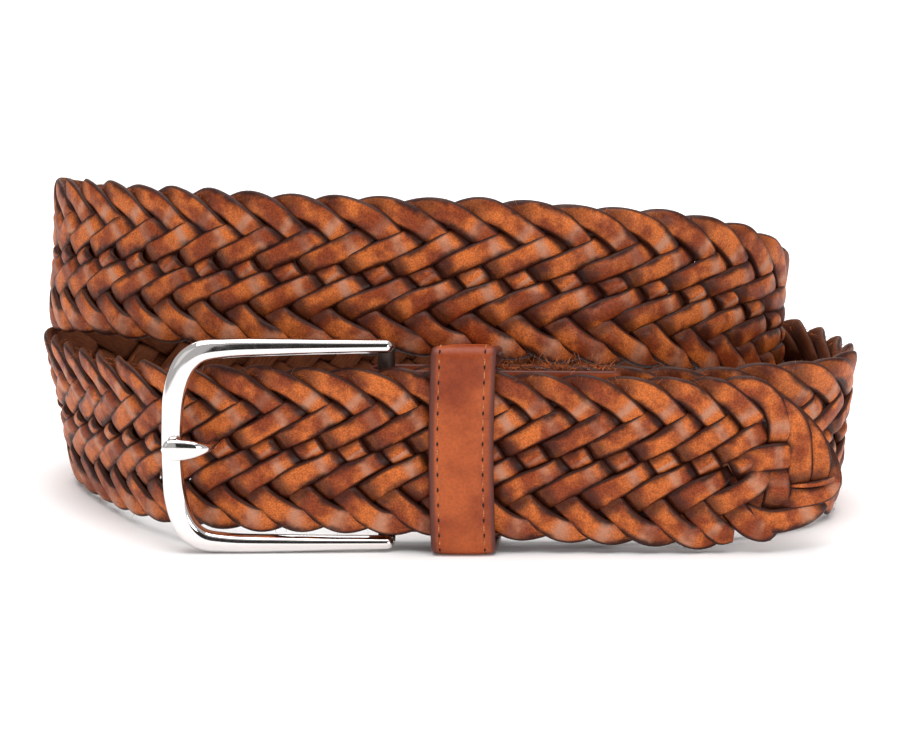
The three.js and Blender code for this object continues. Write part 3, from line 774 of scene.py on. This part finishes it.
def braid_strand(strap, sizes, number, rng):
    """One strand of the plain braid, up to where it leaves it near the tip."""
    down = sizes.down_plaits
    tau, low = strand_line(strap.total, number, down, TIP_CUTS[number])
    q = np.clip(-tau, 0, strap.total)
    tip = np.clip(strap.at(q, "length") / sizes.tip_length, 0, 1)
    narrow = np.maximum(np.sin(np.pi / 2 * tip**0.85), 0.2)
    reach = np.maximum(strap.at(q, "half") * narrow - sizes.lace_wide / 2 * 0.93, 0.3 * MM)
    drop = sizes.tip_drop * sizes.strap_width * (1 - narrow)
    lace = Lace(strap, q, reach * (1 - 2 * low) - drop, (tau, low, reach))
    tau, low, reach = lace.columns
    plait = strap.at(lace.q, "plait")
    free = ease((lace.q - TIP_CUTS[number]) / TUCK)

    def level_of(u):
        # Each point's own place in the braid decides how high it lies
        own_tau = tau[:, None] + u * (dot(lace.side, lace.right) / plait)[:, None]
        own_low = low[:, None] - u * (dot(lace.side, lace.up) / (2 * reach))[:, None]
        start = (np.floor((tau - number) / STRANDS) * STRANDS + number)[:, None]
        phase = own_tau - start
        risen = plaits_run(own_low, STRANDS - down, RISE_LEAN)
        fallen = plaits_run(own_low, down, -LEAN)
        going_down = over_or_under(own_tau + risen - start)
        row_up = STRANDS + start - (own_tau - fallen)
        going_up = -over_or_under(row_up)
        going_up_before = -over_or_under(row_up - STRANDS)
        top = ease((phase + EDGE_SOFT) / (2 * EDGE_SOFT))
        bottom = ease((phase - down + EDGE_SOFT) / (2 * EDGE_SOFT))
        top_next = ease((phase - STRANDS + EDGE_SOFT) / (2 * EDGE_SOFT))
        level = (1 - top) * going_up_before + top * ((1 - bottom) * going_down + bottom * going_up)
        level = (1 - top_next) * level + top_next
        level = free[:, None] * level - (1 - free)[:, None]
        turned = np.maximum(ease((0.1 - own_low) / 0.1), ease((own_low - 0.9) / 0.1))
        return level, turned

    rising = np.mod(tau - number, STRANDS) > down
    waist = np.where(rising, RISING_WAIST, FALLING_WAIST) * np.sin(np.pi * np.clip(low, 0, 1)) ** 6
    wide = (0.55 + 0.45 * free) * (1 - waist)
    return lace_rings(lace, sizes, rng, wide, level_of)


def tip_strand(strap, sizes, rows, rng):
    """One strand's end, woven round the tail's tip."""
    q, up, level, wide = smooth_line(np.array(rows) * (1, 4, 1, 1), 90, 2).T
    half = strap.at(q, "half")
    lace = Lace(strap, q, up / 4 * half, (level, wide))
    level, wide = lace.columns

    def level_of(u):
        return level[:, None] + 0 * u, 0 * u

    return lace_rings(lace, sizes, rng, wide, level_of)


def add_lace(name, made_rings, material):
    rings, values, run, across = made_rings
    points, faces = sweep(rings)
    made = add_mesh(name, points, faces, material)
    ends = {"across": 1.0, "exposure": 0.0, "flesh": 0.0, "shoulder": 0.0}
    for value, grid in values.items():
        add_attribute(made, value, np.concatenate((grid.ravel(), [ends[value]] * 2)))
    uv = np.stack(np.meshgrid(run, across, indexing="ij"), axis=-1).reshape(-1, 2)
    uv = np.vstack((uv, uv[:1], uv[-1:]))
    corners = np.zeros(len(made.data.loops), int)
    made.data.loops.foreach_get("vertex_index", corners)
    layer = made.data.uv_layers.new(name="run")
    layer.data.foreach_set("uv", uv[corners].ravel())
    finish_piece(made, "braided_leather", "braided_strap")


def build_braid(sizes, colours):
    strap = Strap(sizes)
    material = burnished_lace(colours)
    for number in range(STRANDS):
        rng = np.random.default_rng(40 + number)
        made_rings = braid_strand(strap, sizes, number, rng)
        add_lace(f"braid_strand_{number + 1:02d}", made_rings, material)
    for number, (name, rows) in enumerate(TIP_ENDS.items()):
        rng = np.random.default_rng(70 + number)
        add_lace("tip_" + name, tip_strand(strap, sizes, rows, rng), material)


SPAN_POINTS = 40  # points of a smooth line between two of its rows


def between(first, second, start, end, t):
    """First at start, second at end."""
    return (end - t) / (end - start) * first + (t - start) / (end - start) * second


def smooth_line(rows, count, wide=3):
    """A smooth curve through given rows, evenly spaced along its first columns."""
    rows = np.asarray(rows, float)
    ends = np.vstack((2 * rows[0] - rows[1], rows, 2 * rows[-1] - rows[-2]))
    steps = np.linalg.norm(np.diff(ends[:, :wide], axis=0), axis=1)
    knots = np.concatenate(([0], np.cumsum(steps**0.5)))
    points = []
    for k in range(1, len(ends) - 2):
        t = np.linspace(knots[k], knots[k + 1], SPAN_POINTS, endpoint=False)[:, None]
        p = ends[k - 1 : k + 3]
        n = knots[k - 1 : k + 3]
        a = [between(p[j], p[j + 1], n[j], n[j + 1], t) for j in range(3)]
        b = [between(a[j], a[j + 1], n[j], n[j + 2], t) for j in range(2)]
        points.append(between(b[0], b[1], n[1], n[2], t))
    points = np.vstack(points + [rows[-1:]])
    run = distance_along(points[:, :wide])
    wanted = np.linspace(0, run[-1], count)
    return np.column_stack([np.interp(wanted, run, column) for column in points.T])


OVERHANG = 1.6 * MM  # rounded ends of the arms past the heel bar
UPPER_LUG = -0.6 * MM  # middle of a lug from the middle of its arm
LOWER_LUG = 0.45 * MM
FACE_LEAN = 0.24  # how far the face of the upper arm leans back
FRAME_STATIONS = 321
END_STATIONS = 4  # stations over which the arms' ends are rounded
EYE_WALL = 1.4 * MM  # wall of the prong's eye round the heel bar
POINT_LONG = 1.2 * MM  # stretch over which the prong's point is rounded


def heel_axis(sizes):
    """Point on the heel bar's axis at the height of the prong."""
    low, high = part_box("buckle_prong")
    eye = sizes.heel_bar + GAP + EYE_WALL
    return np.array((high.x - eye, high.y - eye, (low.z + high.z) / 2))


def build_frame(sizes, material, matt_shaded):
    """Horseshoe with its heel bar and the lugs that carry it."""
    heel = heel_axis(sizes)
    past = (-OVERHANG / sizes.buckle_length, 1.0, HORSESHOE[0][2])
    upper = [past, *HORSESHOE]
    lower = [(out, -high, bar) for out, high, bar in reversed([past, *HORSESHOE[:-1]])]
    rows = []
    for out, high, bar in upper + lower:
        forward = sizes.heel_forward + (sizes.toe_forward - sizes.heel_forward) * max(out, 0)
        place = heel + (-out * sizes.buckle_length, -forward, high * sizes.buckle_half_height)
        rows.append((*place, bar))
    line = smooth_line(rows, FRAME_STATIONS)
    bar, line = line[:, 3], line[:, :3]
    heading = unit(np.gradient(line, axis=0))
    # The face of the upper arm leans back
    raised = np.clip((line[:, 2] - heel[2]) / sizes.buckle_half_height, 0, 1)
    face = np.array((0.0, -1.0, 0.0)) + (FACE_LEAN * ease(2 * raised - 1))[:, None] * (0, 0, 1)
    face = unit(face - heading * dot(face, heading)[:, None])
    side = np.cross(heading, face)
    station = np.arange(FRAME_STATIONS)
    near = np.minimum(station, station[::-1]) / END_STATIONS
    end = np.sqrt(np.clip(1 - (1 - np.clip(near, 0.02, 1)) ** 2, 0, 1))
    high = sizes.bar_high / 2 * bar * end
    rings = rounded_ring(line, face, sizes.bar_deep / 2 * end, side, high, 48, 2.5)
    made = add_mesh("buckle_frame_polished", *sweep(rings), material)
    finish_piece(made, "polished_nickel", "buckle_frame")

    radius = sizes.heel_bar
    ends = np.array((UPPER_LUG + sizes.buckle_half_height, LOWER_LUG - sizes.buckle_half_height))
    line = heel + np.linspace(ends[1], ends[0], 30)[:, None] * (0, 0, 1)
    bar = rounded_ring(line, same((1, 0, 0), line), radius, same((0, 1, 0), line), radius, 32, 2)
    # The heel bar and lugs take the dark grey nickel, painted shade under the arms
    made = add_mesh("buckle_heel_bar", *sweep(bar), matt_shaded)
    finish_piece(made, "polished_nickel", "buckle_frame")
    for name, height in zip(("upper", "lower"), ends):
        line = heel + np.linspace(0.2, 1, 12)[:, None] * (0, -sizes.heel_forward, 0) + (0, 0, height)
        across, rise = same((1, 0, 0), line), same((0, 0, 1), line)
        lug = rounded_ring(line, across, radius, rise, sizes.lug_high / 2, 24, 4)
        made = add_mesh(f"{name}_lug", *sweep(lug), matt_shaded)
        finish_piece(made, "polished_nickel", "buckle_frame")


def build_prong(sizes, material):
    """Prong from behind the tail over the toe bar, and its eye round the heel bar."""
    heel = heel_axis(sizes)
    along, forward, wide, thick = np.array(PRONG).T
    x = heel[0] - along * sizes.buckle_length
    y = heel[1] - forward * sizes.prong_thick
    line = smooth_line(np.column_stack((x, y, np.full(len(x), heel[2]), wide, thick)), 121)
    middle, wide, thick = line[:, :3], line[:, 3], line[:, 4]
    heading = unit(np.gradient(middle, axis=0))
    rise = same((0, 0, 1), middle)
    face = unit(np.cross(heading, rise))
    to_end = np.clip((middle[:, 0] - middle[-1, 0]) / POINT_LONG, 0, 1)
    cap = np.sqrt(np.clip(1 - (1 - to_end) ** 2, 0.02, 1))
    half_wide, half_thick = sizes.prong_wide / 2 * wide * cap, sizes.prong_thick / 2 * thick * cap
    rings = rounded_ring(middle, rise, half_wide, face, half_thick, 28, 2.6)
    made = add_mesh("buckle_prong_polished", *sweep(rings), material)
    finish_piece(made, "polished_nickel", "buckle_prong")
    inner = sizes.heel_bar + GAP
    outer = inner + EYE_WALL
    turn = np.linspace(0, 2 * np.pi, 48, endpoint=False)
    spoke = np.column_stack((np.cos(turn), np.sin(turn), np.zeros(48)))
    ring_line = heel + spoke * (inner + outer) / 2
    rise = same((0, 0, 1), spoke)
    eye = rounded_ring(ring_line, spoke, (outer - inner) / 2, rise, sizes.prong_wide / 2, 20, 3)
    made = add_mesh("prong_eye", *sweep(eye, closed=True), material)
    finish_piece(made, "polished_nickel", "buckle_prong")


def build_buckle(sizes, colours):
    material = polished_nickel(colours)
    build_frame(sizes, material, matt_nickel_painted_shade(colours))
    build_prong(sizes, material)


TAB_MARGIN = 0.55 * MM  # edge of the tab inside the strap's edge
TAB_SIDES = 32


def build_tab(sizes, colours):
    """Tab: one leaf outside the strap, folded round the heel bar, and one leaf inside it."""
    strap = Strap(sizes)
    heel = heel_axis(sizes)
    low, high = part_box("leather_tab")
    reach = sizes.strap_thick / 2 + GAP + sizes.tab_thick / 2
    late = np.arange(len(strap.middle)) > len(strap.middle) / 2
    front = strap.middle[:, 1] < -0.4 * sizes.coil_depth + strap.shift[1]
    held = np.where(late & front & (strap.middle[:, 0] < high.x - 0.1 * MM))[0][::4]
    fold = np.linspace(0, np.pi, 25)
    around = np.column_stack((-np.sin(fold), -np.cos(fold), np.zeros(25)))
    middle, outward = strap.middle[held], strap.outward[held]
    turn = np.array((heel[0], heel[1], strap.middle[-1, 2])) + around * reach
    points = np.vstack((middle + outward * reach, turn, (middle - outward * reach)[::-1]))
    out = unit(np.vstack((outward, around, -outward[::-1])))
    points[:, 2] += (low.z + high.z) / 2 - strap.middle[-1, 2]
    rise = same((0, 0, 1), points)
    half = sizes.strap_width / 2 - TAB_MARGIN
    rings = rounded_ring(points, rise, half, out, sizes.tab_thick / 2, TAB_SIDES, 6)
    made = add_mesh("leather_tab_finished", *sweep(rings), smooth_calf(colours))
    angle = (np.arange(TAB_SIDES) + 0.5) / TAB_SIDES * 2 * np.pi
    edge = np.tile(ease((np.abs(np.cos(angle)) - 0.9) / 0.08), len(points))
    add_attribute(made, "edge", np.concatenate((edge, [1, 1])))
    finish_piece(made, "tan_leather", "leather_tab")


KEEPER_CORNER = 1.8 * MM


def keeper_path(sizes, offset, count):
    """Points and outward directions of a rounded rectangle round the belt, offset from its middle."""
    low, high = (np.array(corner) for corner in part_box("keeper_loop"))
    wall = sizes.keeper_thick / 2
    top = sizes.strap_width + sizes.keeper_room
    middle = np.array((heel_axis(sizes)[0] + sizes.keeper_ahead, (low[1] + high[1]) / 2, top / 2))
    deep = (high[1] - low[1]) / 2 - wall
    tall = top / 2 - wall
    corner = KEEPER_CORNER
    lengths = [2 * (tall - corner), np.pi / 2 * corner, 2 * (deep - corner), np.pi / 2 * corner] * 2
    edges = np.concatenate(([0], np.cumsum(lengths)))
    run = np.arange(count) / count * edges[-1]
    centres = [(-1, -1), (-1, 1), (-1, 1), (1, 1), (1, 1), (1, -1), (1, -1), (-1, -1)]
    points, outs = [], []
    for s in run:
        part = int(np.searchsorted(edges, s, side="right") - 1)
        along = (s - edges[part]) / lengths[part]
        angle = np.pi - part // 2 * np.pi / 2
        ahead = centres[part]
        if part % 2:
            angle -= along * np.pi / 2
        else:
            ahead = (1 - along) * np.array(ahead) + along * np.array(centres[(part + 1) % 8])
        out = np.array((0.0, np.cos(angle), np.sin(angle)))
        centre = middle + (0, ahead[0] * (deep - corner), ahead[1] * (tall - corner))
        points.append(centre + out * corner)
        outs.append(out)
    points, outs = np.array(points), np.array(outs)
    raised = (points[:, 2] - wall) / (top - 2 * wall)
    backward = (points[:, 1] - middle[1] + deep) / (2 * deep)
    points[:, 0] += sizes.keeper_shift * (backward - 0.5)
    points[:, 0] -= sizes.keeper_bow * np.sin(np.pi * raised)
    points[:, 2] -= sizes.keeper_fall * backward * raised
    return points + outs * offset, outs


# Keeper across its width: across share of half the width, out share of half the thickness
KEEPER_OUTLINE = (
    (-1.0, -0.2),
    (-1.0, 0.1),
    (-0.985, 0.4),
    (-0.94, 0.66),
    (-0.86, 0.84),
    (-0.78, 0.88),
    (-0.74, 0.8),
    (-0.7, 0.86),
    (-0.6, 0.98),
    (-0.4, 1.02),
    (0.0, 1.04),
    (0.4, 1.02),
    (0.55, 0.98),
    (0.63, 0.86),
    (0.67, 0.8),
    (0.71, 0.88),
    (0.82, 0.84),
    (0.92, 0.66),
    (0.98, 0.4),
    (1.0, 0.1),
    (1.0, -0.5),
    (0.93, -0.97),
    (0.0, -1.0),
    (-0.93, -0.97),
    (-1.0, -0.5),
)
KEEPER_STATIONS = 240
SEAM_POINTS = 400
SEAMS = (-0.73, 0.66)  # places of the two seams, shares of half the keeper's width
SEAM_OUT = 0.68  # middle of the thread, share of half the keeper's thickness
STITCH_LONG = 0.68  # share of the step that shows as thread
HOLE_LONG = 1.1 * MM
HOLE_WIDE = 0.56 * MM


def line_tree(name, result):
    """An empty node tree with the inputs of what is laid along a line."""
    tree = bpy.data.node_groups.new(name, "GeometryNodeTree")
    inputs = {"Line": "Geometry", "Step": "Float", "Long": "Float", "Thick": "Float"}
    for label, kind in {**inputs, "Material": "Material"}.items():
        tree.interface.new_socket(label, in_out="INPUT", socket_type="NodeSocket" + kind)
    tree.interface.new_socket(result, in_out="OUTPUT", socket_type="NodeSocketGeometry")
    return tree, add_node(tree, "NodeGroupInput").outputs


def lay_shape(tree, given, shape, turn, long, result):
    """Stands the shape at even steps along the line, as real mesh with its material."""
    evenly = {"Curve": given["Line"], "Length": given["Step"]}
    spaced = add_node(tree, "GeometryNodeResampleCurve", evenly, mode="LENGTH")
    size_of = {"X": given["Thick"], "Y": given["Thick"], "Z": long}
    scale = add_node(tree, "ShaderNodeCombineXYZ", size_of).outputs[0]
    placed = {"Points": spaced.outputs[0], "Instance": shape, "Rotation": turn, "Scale": scale}
    laid = add_node(tree, "GeometryNodeInstanceOnPoints", placed)
    real = add_node(tree, "GeometryNodeRealizeInstances", {"Geometry": laid.outputs[0]})
    finish = {"Geometry": real.outputs[0], "Material": given["Material"]}
    painted = add_node(tree, "GeometryNodeSetMaterial", finish)
    add_node(tree, "NodeGroupOutput", {result: painted.outputs[0]})


def stitch_tree():
    """Node tree: stitches of a given size laid along a curve."""
    tree, given = line_tree("stitches along a line", "Stitches")
    ball = add_node(tree, "GeometryNodeMeshUVSphere", {"Segments": 8, "Rings": 6, "Radius": 0.5})
    tangent = add_node(tree, "GeometryNodeInputTangent").outputs[0]
    turn = add_node(tree, "FunctionNodeAlignRotationToVector", {"Vector": tangent}, axis="Z")
    lay_shape(tree, given, ball.outputs[0], turn.outputs[0], given["Long"], "Stitches")
    return tree


def fibre_tree():
    """Node tree: fine fibres that stand off a curve in all directions."""
    tree, given = line_tree("loose fibres along a line", "Fibres")
    taper = {"Vertices": 3, "Radius Top": 0.2, "Radius Bottom": 0.5, "Depth": 1.0}
    cone = add_node(tree, "GeometryNodeMeshCone", taper)
    any_way = {0: (0.0, 0.0, 0.0), 1: (6.283, 6.283, 6.283), "Seed": 3}
    turn = add_node(tree, "FunctionNodeRandomValue", any_way, data_type="FLOAT_VECTOR")
    chance = add_node(tree, "FunctionNodeRandomValue", {2: 0.1, 3: 1.0, "Seed": 8}, data_type="FLOAT")
    # Most fibres are short
    short = math_node(tree, "POWER", chance.outputs[1], 2.5)
    long = math_node(tree, "MULTIPLY", short, given["Long"])
    lay_shape(tree, given, cone.outputs["Mesh"], turn.outputs[0], long, "Fibres")
    return tree


FIBRE_ROOT = 1.5 * MM  # roots of the fibres inside the strap's edge
FIBRE_START = 4.0  # plaits from the tip at which the fibres begin
FIBRE_POINTS = 1600
FRAY_RISE = 1.3 * MM
FRAY_FROM, FRAY_TO = 9 * MM, 34 * MM  # stretch of the frayed edge beside the keeper
FRONT_Y = -40 * MM  # the front of the coil lies before this


def build_fibres(sizes, colours):
    """Fibres along both edges of the strap, longer over the end that the tab holds."""
    strap = Strap(sizes)
    tree, material = fibre_tree(), loose_fibre(colours)
    q = np.linspace(FIBRE_START, strap.total, FIBRE_POINTS)
    middle, up = strap.at(q, "middle"), strap.at(q, "up")
    outward, half = strap.at(q, "outward"), strap.at(q, "half")
    edges = [
        middle + up * (side * (half - FIBRE_ROOT))[:, None] + outward * turn * sizes.lace_thick / 2
        for side in (-1, 1)
        for turn in (-1, 1)
    ]
    values = {"Step": 0.5 * MM, "Long": 2.6 * MM, "Thick": 0.12 * MM}
    made = lay_along("strap_fibres", edges, tree, material, values, closed=False)
    finish_piece(made, "braided_leather")
    # The end beside the keeper is frayed along its upper edge
    x = middle[:, 0] - strap.shift[0]
    frayed = (q > strap.total / 2) & (x > FRAY_FROM) & (x < FRAY_TO) & (middle[:, 1] < FRONT_Y)
    tufts = [edge[frayed] + up[frayed] * FRAY_RISE for edge in edges[2:]]
    values = {"Step": 0.1 * MM, "Long": 3.4 * MM, "Thick": 0.16 * MM}
    made = lay_along("frayed_end_fibres", tufts, tree, material, values, closed=False)
    finish_piece(made, "braided_leather")


def lay_along(name, lines, tree, material, values, closed=True):
    """A plain mesh of what the tree lays along these lines."""
    curve = bpy.data.curves.new(name + "_line", "CURVE")
    curve.dimensions = "3D"
    for points in lines:
        spline = curve.splines.new("POLY")
        spline.points.add(len(points) - 1)
        spline.points.foreach_set("co", np.column_stack((points, np.ones(len(points)))).ravel())
        spline.use_cyclic_u = closed
    holder = bpy.data.objects.new(name + "_line", curve)
    bpy.context.scene.collection.objects.link(holder)
    modifier = holder.modifiers.new("laid", "NODES")
    modifier.node_group = tree
    for item in tree.interface.items_tree:
        if item.in_out == "INPUT" and item.name in values:
            modifier[item.identifier] = values[item.name]
        if item.in_out == "INPUT" and item.name == "Material":
            modifier[item.identifier] = material
    shown = holder.evaluated_get(bpy.context.evaluated_depsgraph_get())
    mesh = bpy.data.meshes.new_from_object(shown)
    bpy.data.objects.remove(holder)
    mesh.name = name
    mesh.shade_smooth()
    made = bpy.data.objects.new(name, mesh)
    bpy.context.scene.collection.objects.link(made)
    return made


def build_keeper(sizes, colours):
    material = smooth_calf(colours)
    wall = sizes.keeper_thick / 2
    points, outs = keeper_path(sizes, 0.0, KEEPER_STATIONS)
    outline = np.array(KEEPER_OUTLINE)
    across = np.array((1.0, 0.0, 0.0))
    rings = (
        points[:, None]
        + across * (outline[:, 0] * sizes.keeper_wide / 2)[None, :, None]
        + outs[:, None] * (outline[:, 1] * wall)[None, :, None]
    )
    made = add_mesh("keeper_loop_finished", *sweep(rings, closed=True), material)
    edge = ease((np.abs(outline[:, 0]) - 0.79) / 0.1)
    add_attribute(made, "edge", np.tile(edge, len(points)))
    finish_piece(made, "tan_leather", "keeper_loop")
    tree = stitch_tree()
    lines = []
    for where in SEAMS:
        line, _ = keeper_path(sizes, wall * SEAM_OUT, SEAM_POINTS)
        line[:, 0] += where * sizes.keeper_wide / 2
        lines.append(line)
    step = sizes.stitch_step
    thread = {"Step": step, "Long": step * STITCH_LONG, "Thick": sizes.stitch_thick}
    made = lay_along("keeper_stitches", lines, tree, waxed_thread(colours), thread)
    finish_piece(made, "tan_leather")
    # The holes lie half a step ahead of the stitches
    around = np.linalg.norm(np.roll(lines[0], -1, 0) - lines[0], axis=1).sum()
    ahead = round(step / 2 / around * SEAM_POINTS)
    halfway = [np.roll(line, -ahead, 0) for line in lines]
    holes = {"Step": step, "Long": HOLE_LONG, "Thick": HOLE_WIDE}
    made = lay_along("keeper_awl_holes", halfway, tree, awl_hole(colours), holes)
    finish_piece(made, "tan_leather")


IMAGE_WIDE = 900
IMAGE_HIGH = 737
CAMERA_FOCAL = 3920.0  # in pixels of the image
CAMERA_LIFT = 13.0  # degrees above the horizon
CAMERA_AWAY = 0.8
CAMERA_AIM = (0.0012341, -0.0530735, 0.0202)
CAMERA_AIM_Y = 455.0  # row of the image in which the aim shows
FLOOR_HALF = 6
LIGHTS = (
    # name, place, size, watts
    ("top light", (0.0, -0.1, 1.1), 1.1, 15.0),
    ("right light", (0.62, -0.86, 0.22), 0.28, 2.2),
    ("left light", (-0.9, -0.8, 0.6), 0.7, 0.5),
    ("floor light", (0.0, 1.5, 0.9), 1.4, 14.0),
)
# Dark card behind the camera, which the nickel mirrors
CARD_CORNERS = ((-0.1, -1.0, 0.01), (0.9, -1.0, 0.01), (0.9, -1.0, 0.8), (-0.1, -1.0, 0.8))


def build_stage(colours):
    """Pale floor, soft lights and the camera."""
    edge = FLOOR_HALF
    floor_points = [(-edge, -edge, 0), (edge, -edge, 0), (edge, edge, 0), (-edge, edge, 0)]
    material, tree, shader = new_material("white studio floor")
    tone = span(tree, noise(tree, object_place(tree), 0.4), 0.0, 1.0)
    base = mix_colour(tree, tone, linear(colours.floor), linear(colours.floor_cloud))
    wire(tree, shader, {"Base Color": base, "Roughness": 0.9, "Specular IOR Level": 0.1})
    add_mesh("studio_floor", floor_points, [[0, 1, 2, 3]], material)
    world = bpy.data.worlds.new("studio")
    world.use_nodes = True
    sky = world.node_tree.nodes["Background"]
    wire(world.node_tree, sky, {"Color": (1, 1, 1, 1), "Strength": 0.5})
    bpy.context.scene.world = world
    for name, place, wide, power in LIGHTS:
        aim = Vector((0, max(place[1], 0), 0.03))
        lamp = bpy.data.lights.new(name, "AREA")
        lamp.energy = power
        lamp.size = wide
        made = bpy.data.objects.new(name, lamp)
        made.location = place
        made.rotation_euler = (aim - Vector(place)).to_track_quat("-Z", "Y").to_euler()
        bpy.context.scene.collection.objects.link(made)
    material, tree, shader = new_material("black card")
    wire(tree, shader, {"Base Color": linear(colours.card), "Roughness": 0.9})
    card = add_mesh("black_card", CARD_CORNERS, [[0, 1, 2, 3]], material)
    card.visible_camera = card.visible_diffuse = card.visible_shadow = False
    camera = bpy.data.cameras.new("camera")
    camera.sensor_width = 36.0
    camera.lens = CAMERA_FOCAL / IMAGE_WIDE * camera.sensor_width
    made = bpy.data.objects.new("camera", camera)
    lift = math.radians(CAMERA_LIFT)
    tilt = lift - math.atan((CAMERA_AIM_Y - IMAGE_HIGH / 2) / CAMERA_FOCAL)
    made.location = Vector(CAMERA_AIM) + CAMERA_AWAY * Vector((0, -math.cos(lift), math.sin(lift)))
    made.rotation_euler = (math.pi / 2 - tilt, 0, 0)
    bpy.context.scene.collection.objects.link(made)
    bpy.context.scene.camera = made
    bpy.context.scene.view_settings.view_transform = "Standard"


class BELT_OT_braid(bpy.types.Operator):
    """Lays the ten strands of the braid along the strap, with their loose fibres"""

    bl_idname = "belt.braid"
    bl_label = "Braid"

    def execute(self, context):
        build_braid(context.scene.belt_sizes, context.scene.belt_colours)
        build_fibres(context.scene.belt_sizes, context.scene.belt_colours)
        return {"FINISHED"}


class BELT_OT_buckle(bpy.types.Operator):
    """Makes the polished buckle frame, its heel bar and its prong"""

    bl_idname = "belt.buckle"
    bl_label = "Buckle"

    def execute(self, context):
        build_buckle(context.scene.belt_sizes, context.scene.belt_colours)
        return {"FINISHED"}


class BELT_OT_tab(bpy.types.Operator):
    """Folds the leather tab round the heel bar"""

    bl_idname = "belt.tab"
    bl_label = "Leather tab"

    def execute(self, context):
        build_tab(context.scene.belt_sizes, context.scene.belt_colours)
        return {"FINISHED"}


class BELT_OT_keeper(bpy.types.Operator):
    """Makes the keeper loop and its stitches"""

    bl_idname = "belt.keeper"
    bl_label = "Keeper"

    def execute(self, context):
        build_keeper(context.scene.belt_sizes, context.scene.belt_colours)
        return {"FINISHED"}


class BELT_OT_stage(bpy.types.Operator):
    """Sets up the floor, the lights and the camera"""

    bl_idname = "belt.stage"
    bl_label = "Studio"

    def execute(self, context):
        build_stage(context.scene.belt_colours)
        return {"FINISHED"}


OPERATORS = (BELT_OT_braid, BELT_OT_buckle, BELT_OT_tab, BELT_OT_keeper, BELT_OT_stage)


class BELT_PT_panel(bpy.types.Panel):
    """Pieces and sizes of the belt"""

    bl_idname = "BELT_PT_panel"
    bl_label = "Braided belt"
    bl_space_type = "VIEW_3D"
    bl_region_type = "UI"
    bl_category = "Belt"

    def draw(self, context):
        for operator in OPERATORS:
            self.layout.operator(operator.bl_idname)
        for group in (context.scene.belt_sizes, context.scene.belt_colours):
            for name in group.__annotations__:
                self.layout.prop(group, name)


CLASSES = (BeltSizes, BeltColours, *OPERATORS, BELT_PT_panel)


def register():
    for cls in CLASSES:
        bpy.utils.register_class(cls)
    bpy.types.Scene.belt_sizes = bpy.props.PointerProperty(type=BeltSizes)
    bpy.types.Scene.belt_colours = bpy.props.PointerProperty(type=BeltColours)


def unregister():
    del bpy.types.Scene.belt_colours
    del bpy.types.Scene.belt_sizes
    for cls in reversed(CLASSES):
        bpy.utils.unregister_class(cls)


def main():
    register()
    bpy.ops.belt.stage()
    bpy.ops.belt.braid()
    bpy.ops.belt.buckle()
    bpy.ops.belt.tab()
    bpy.ops.belt.keeper()


if __name__ == "__main__":
    main()
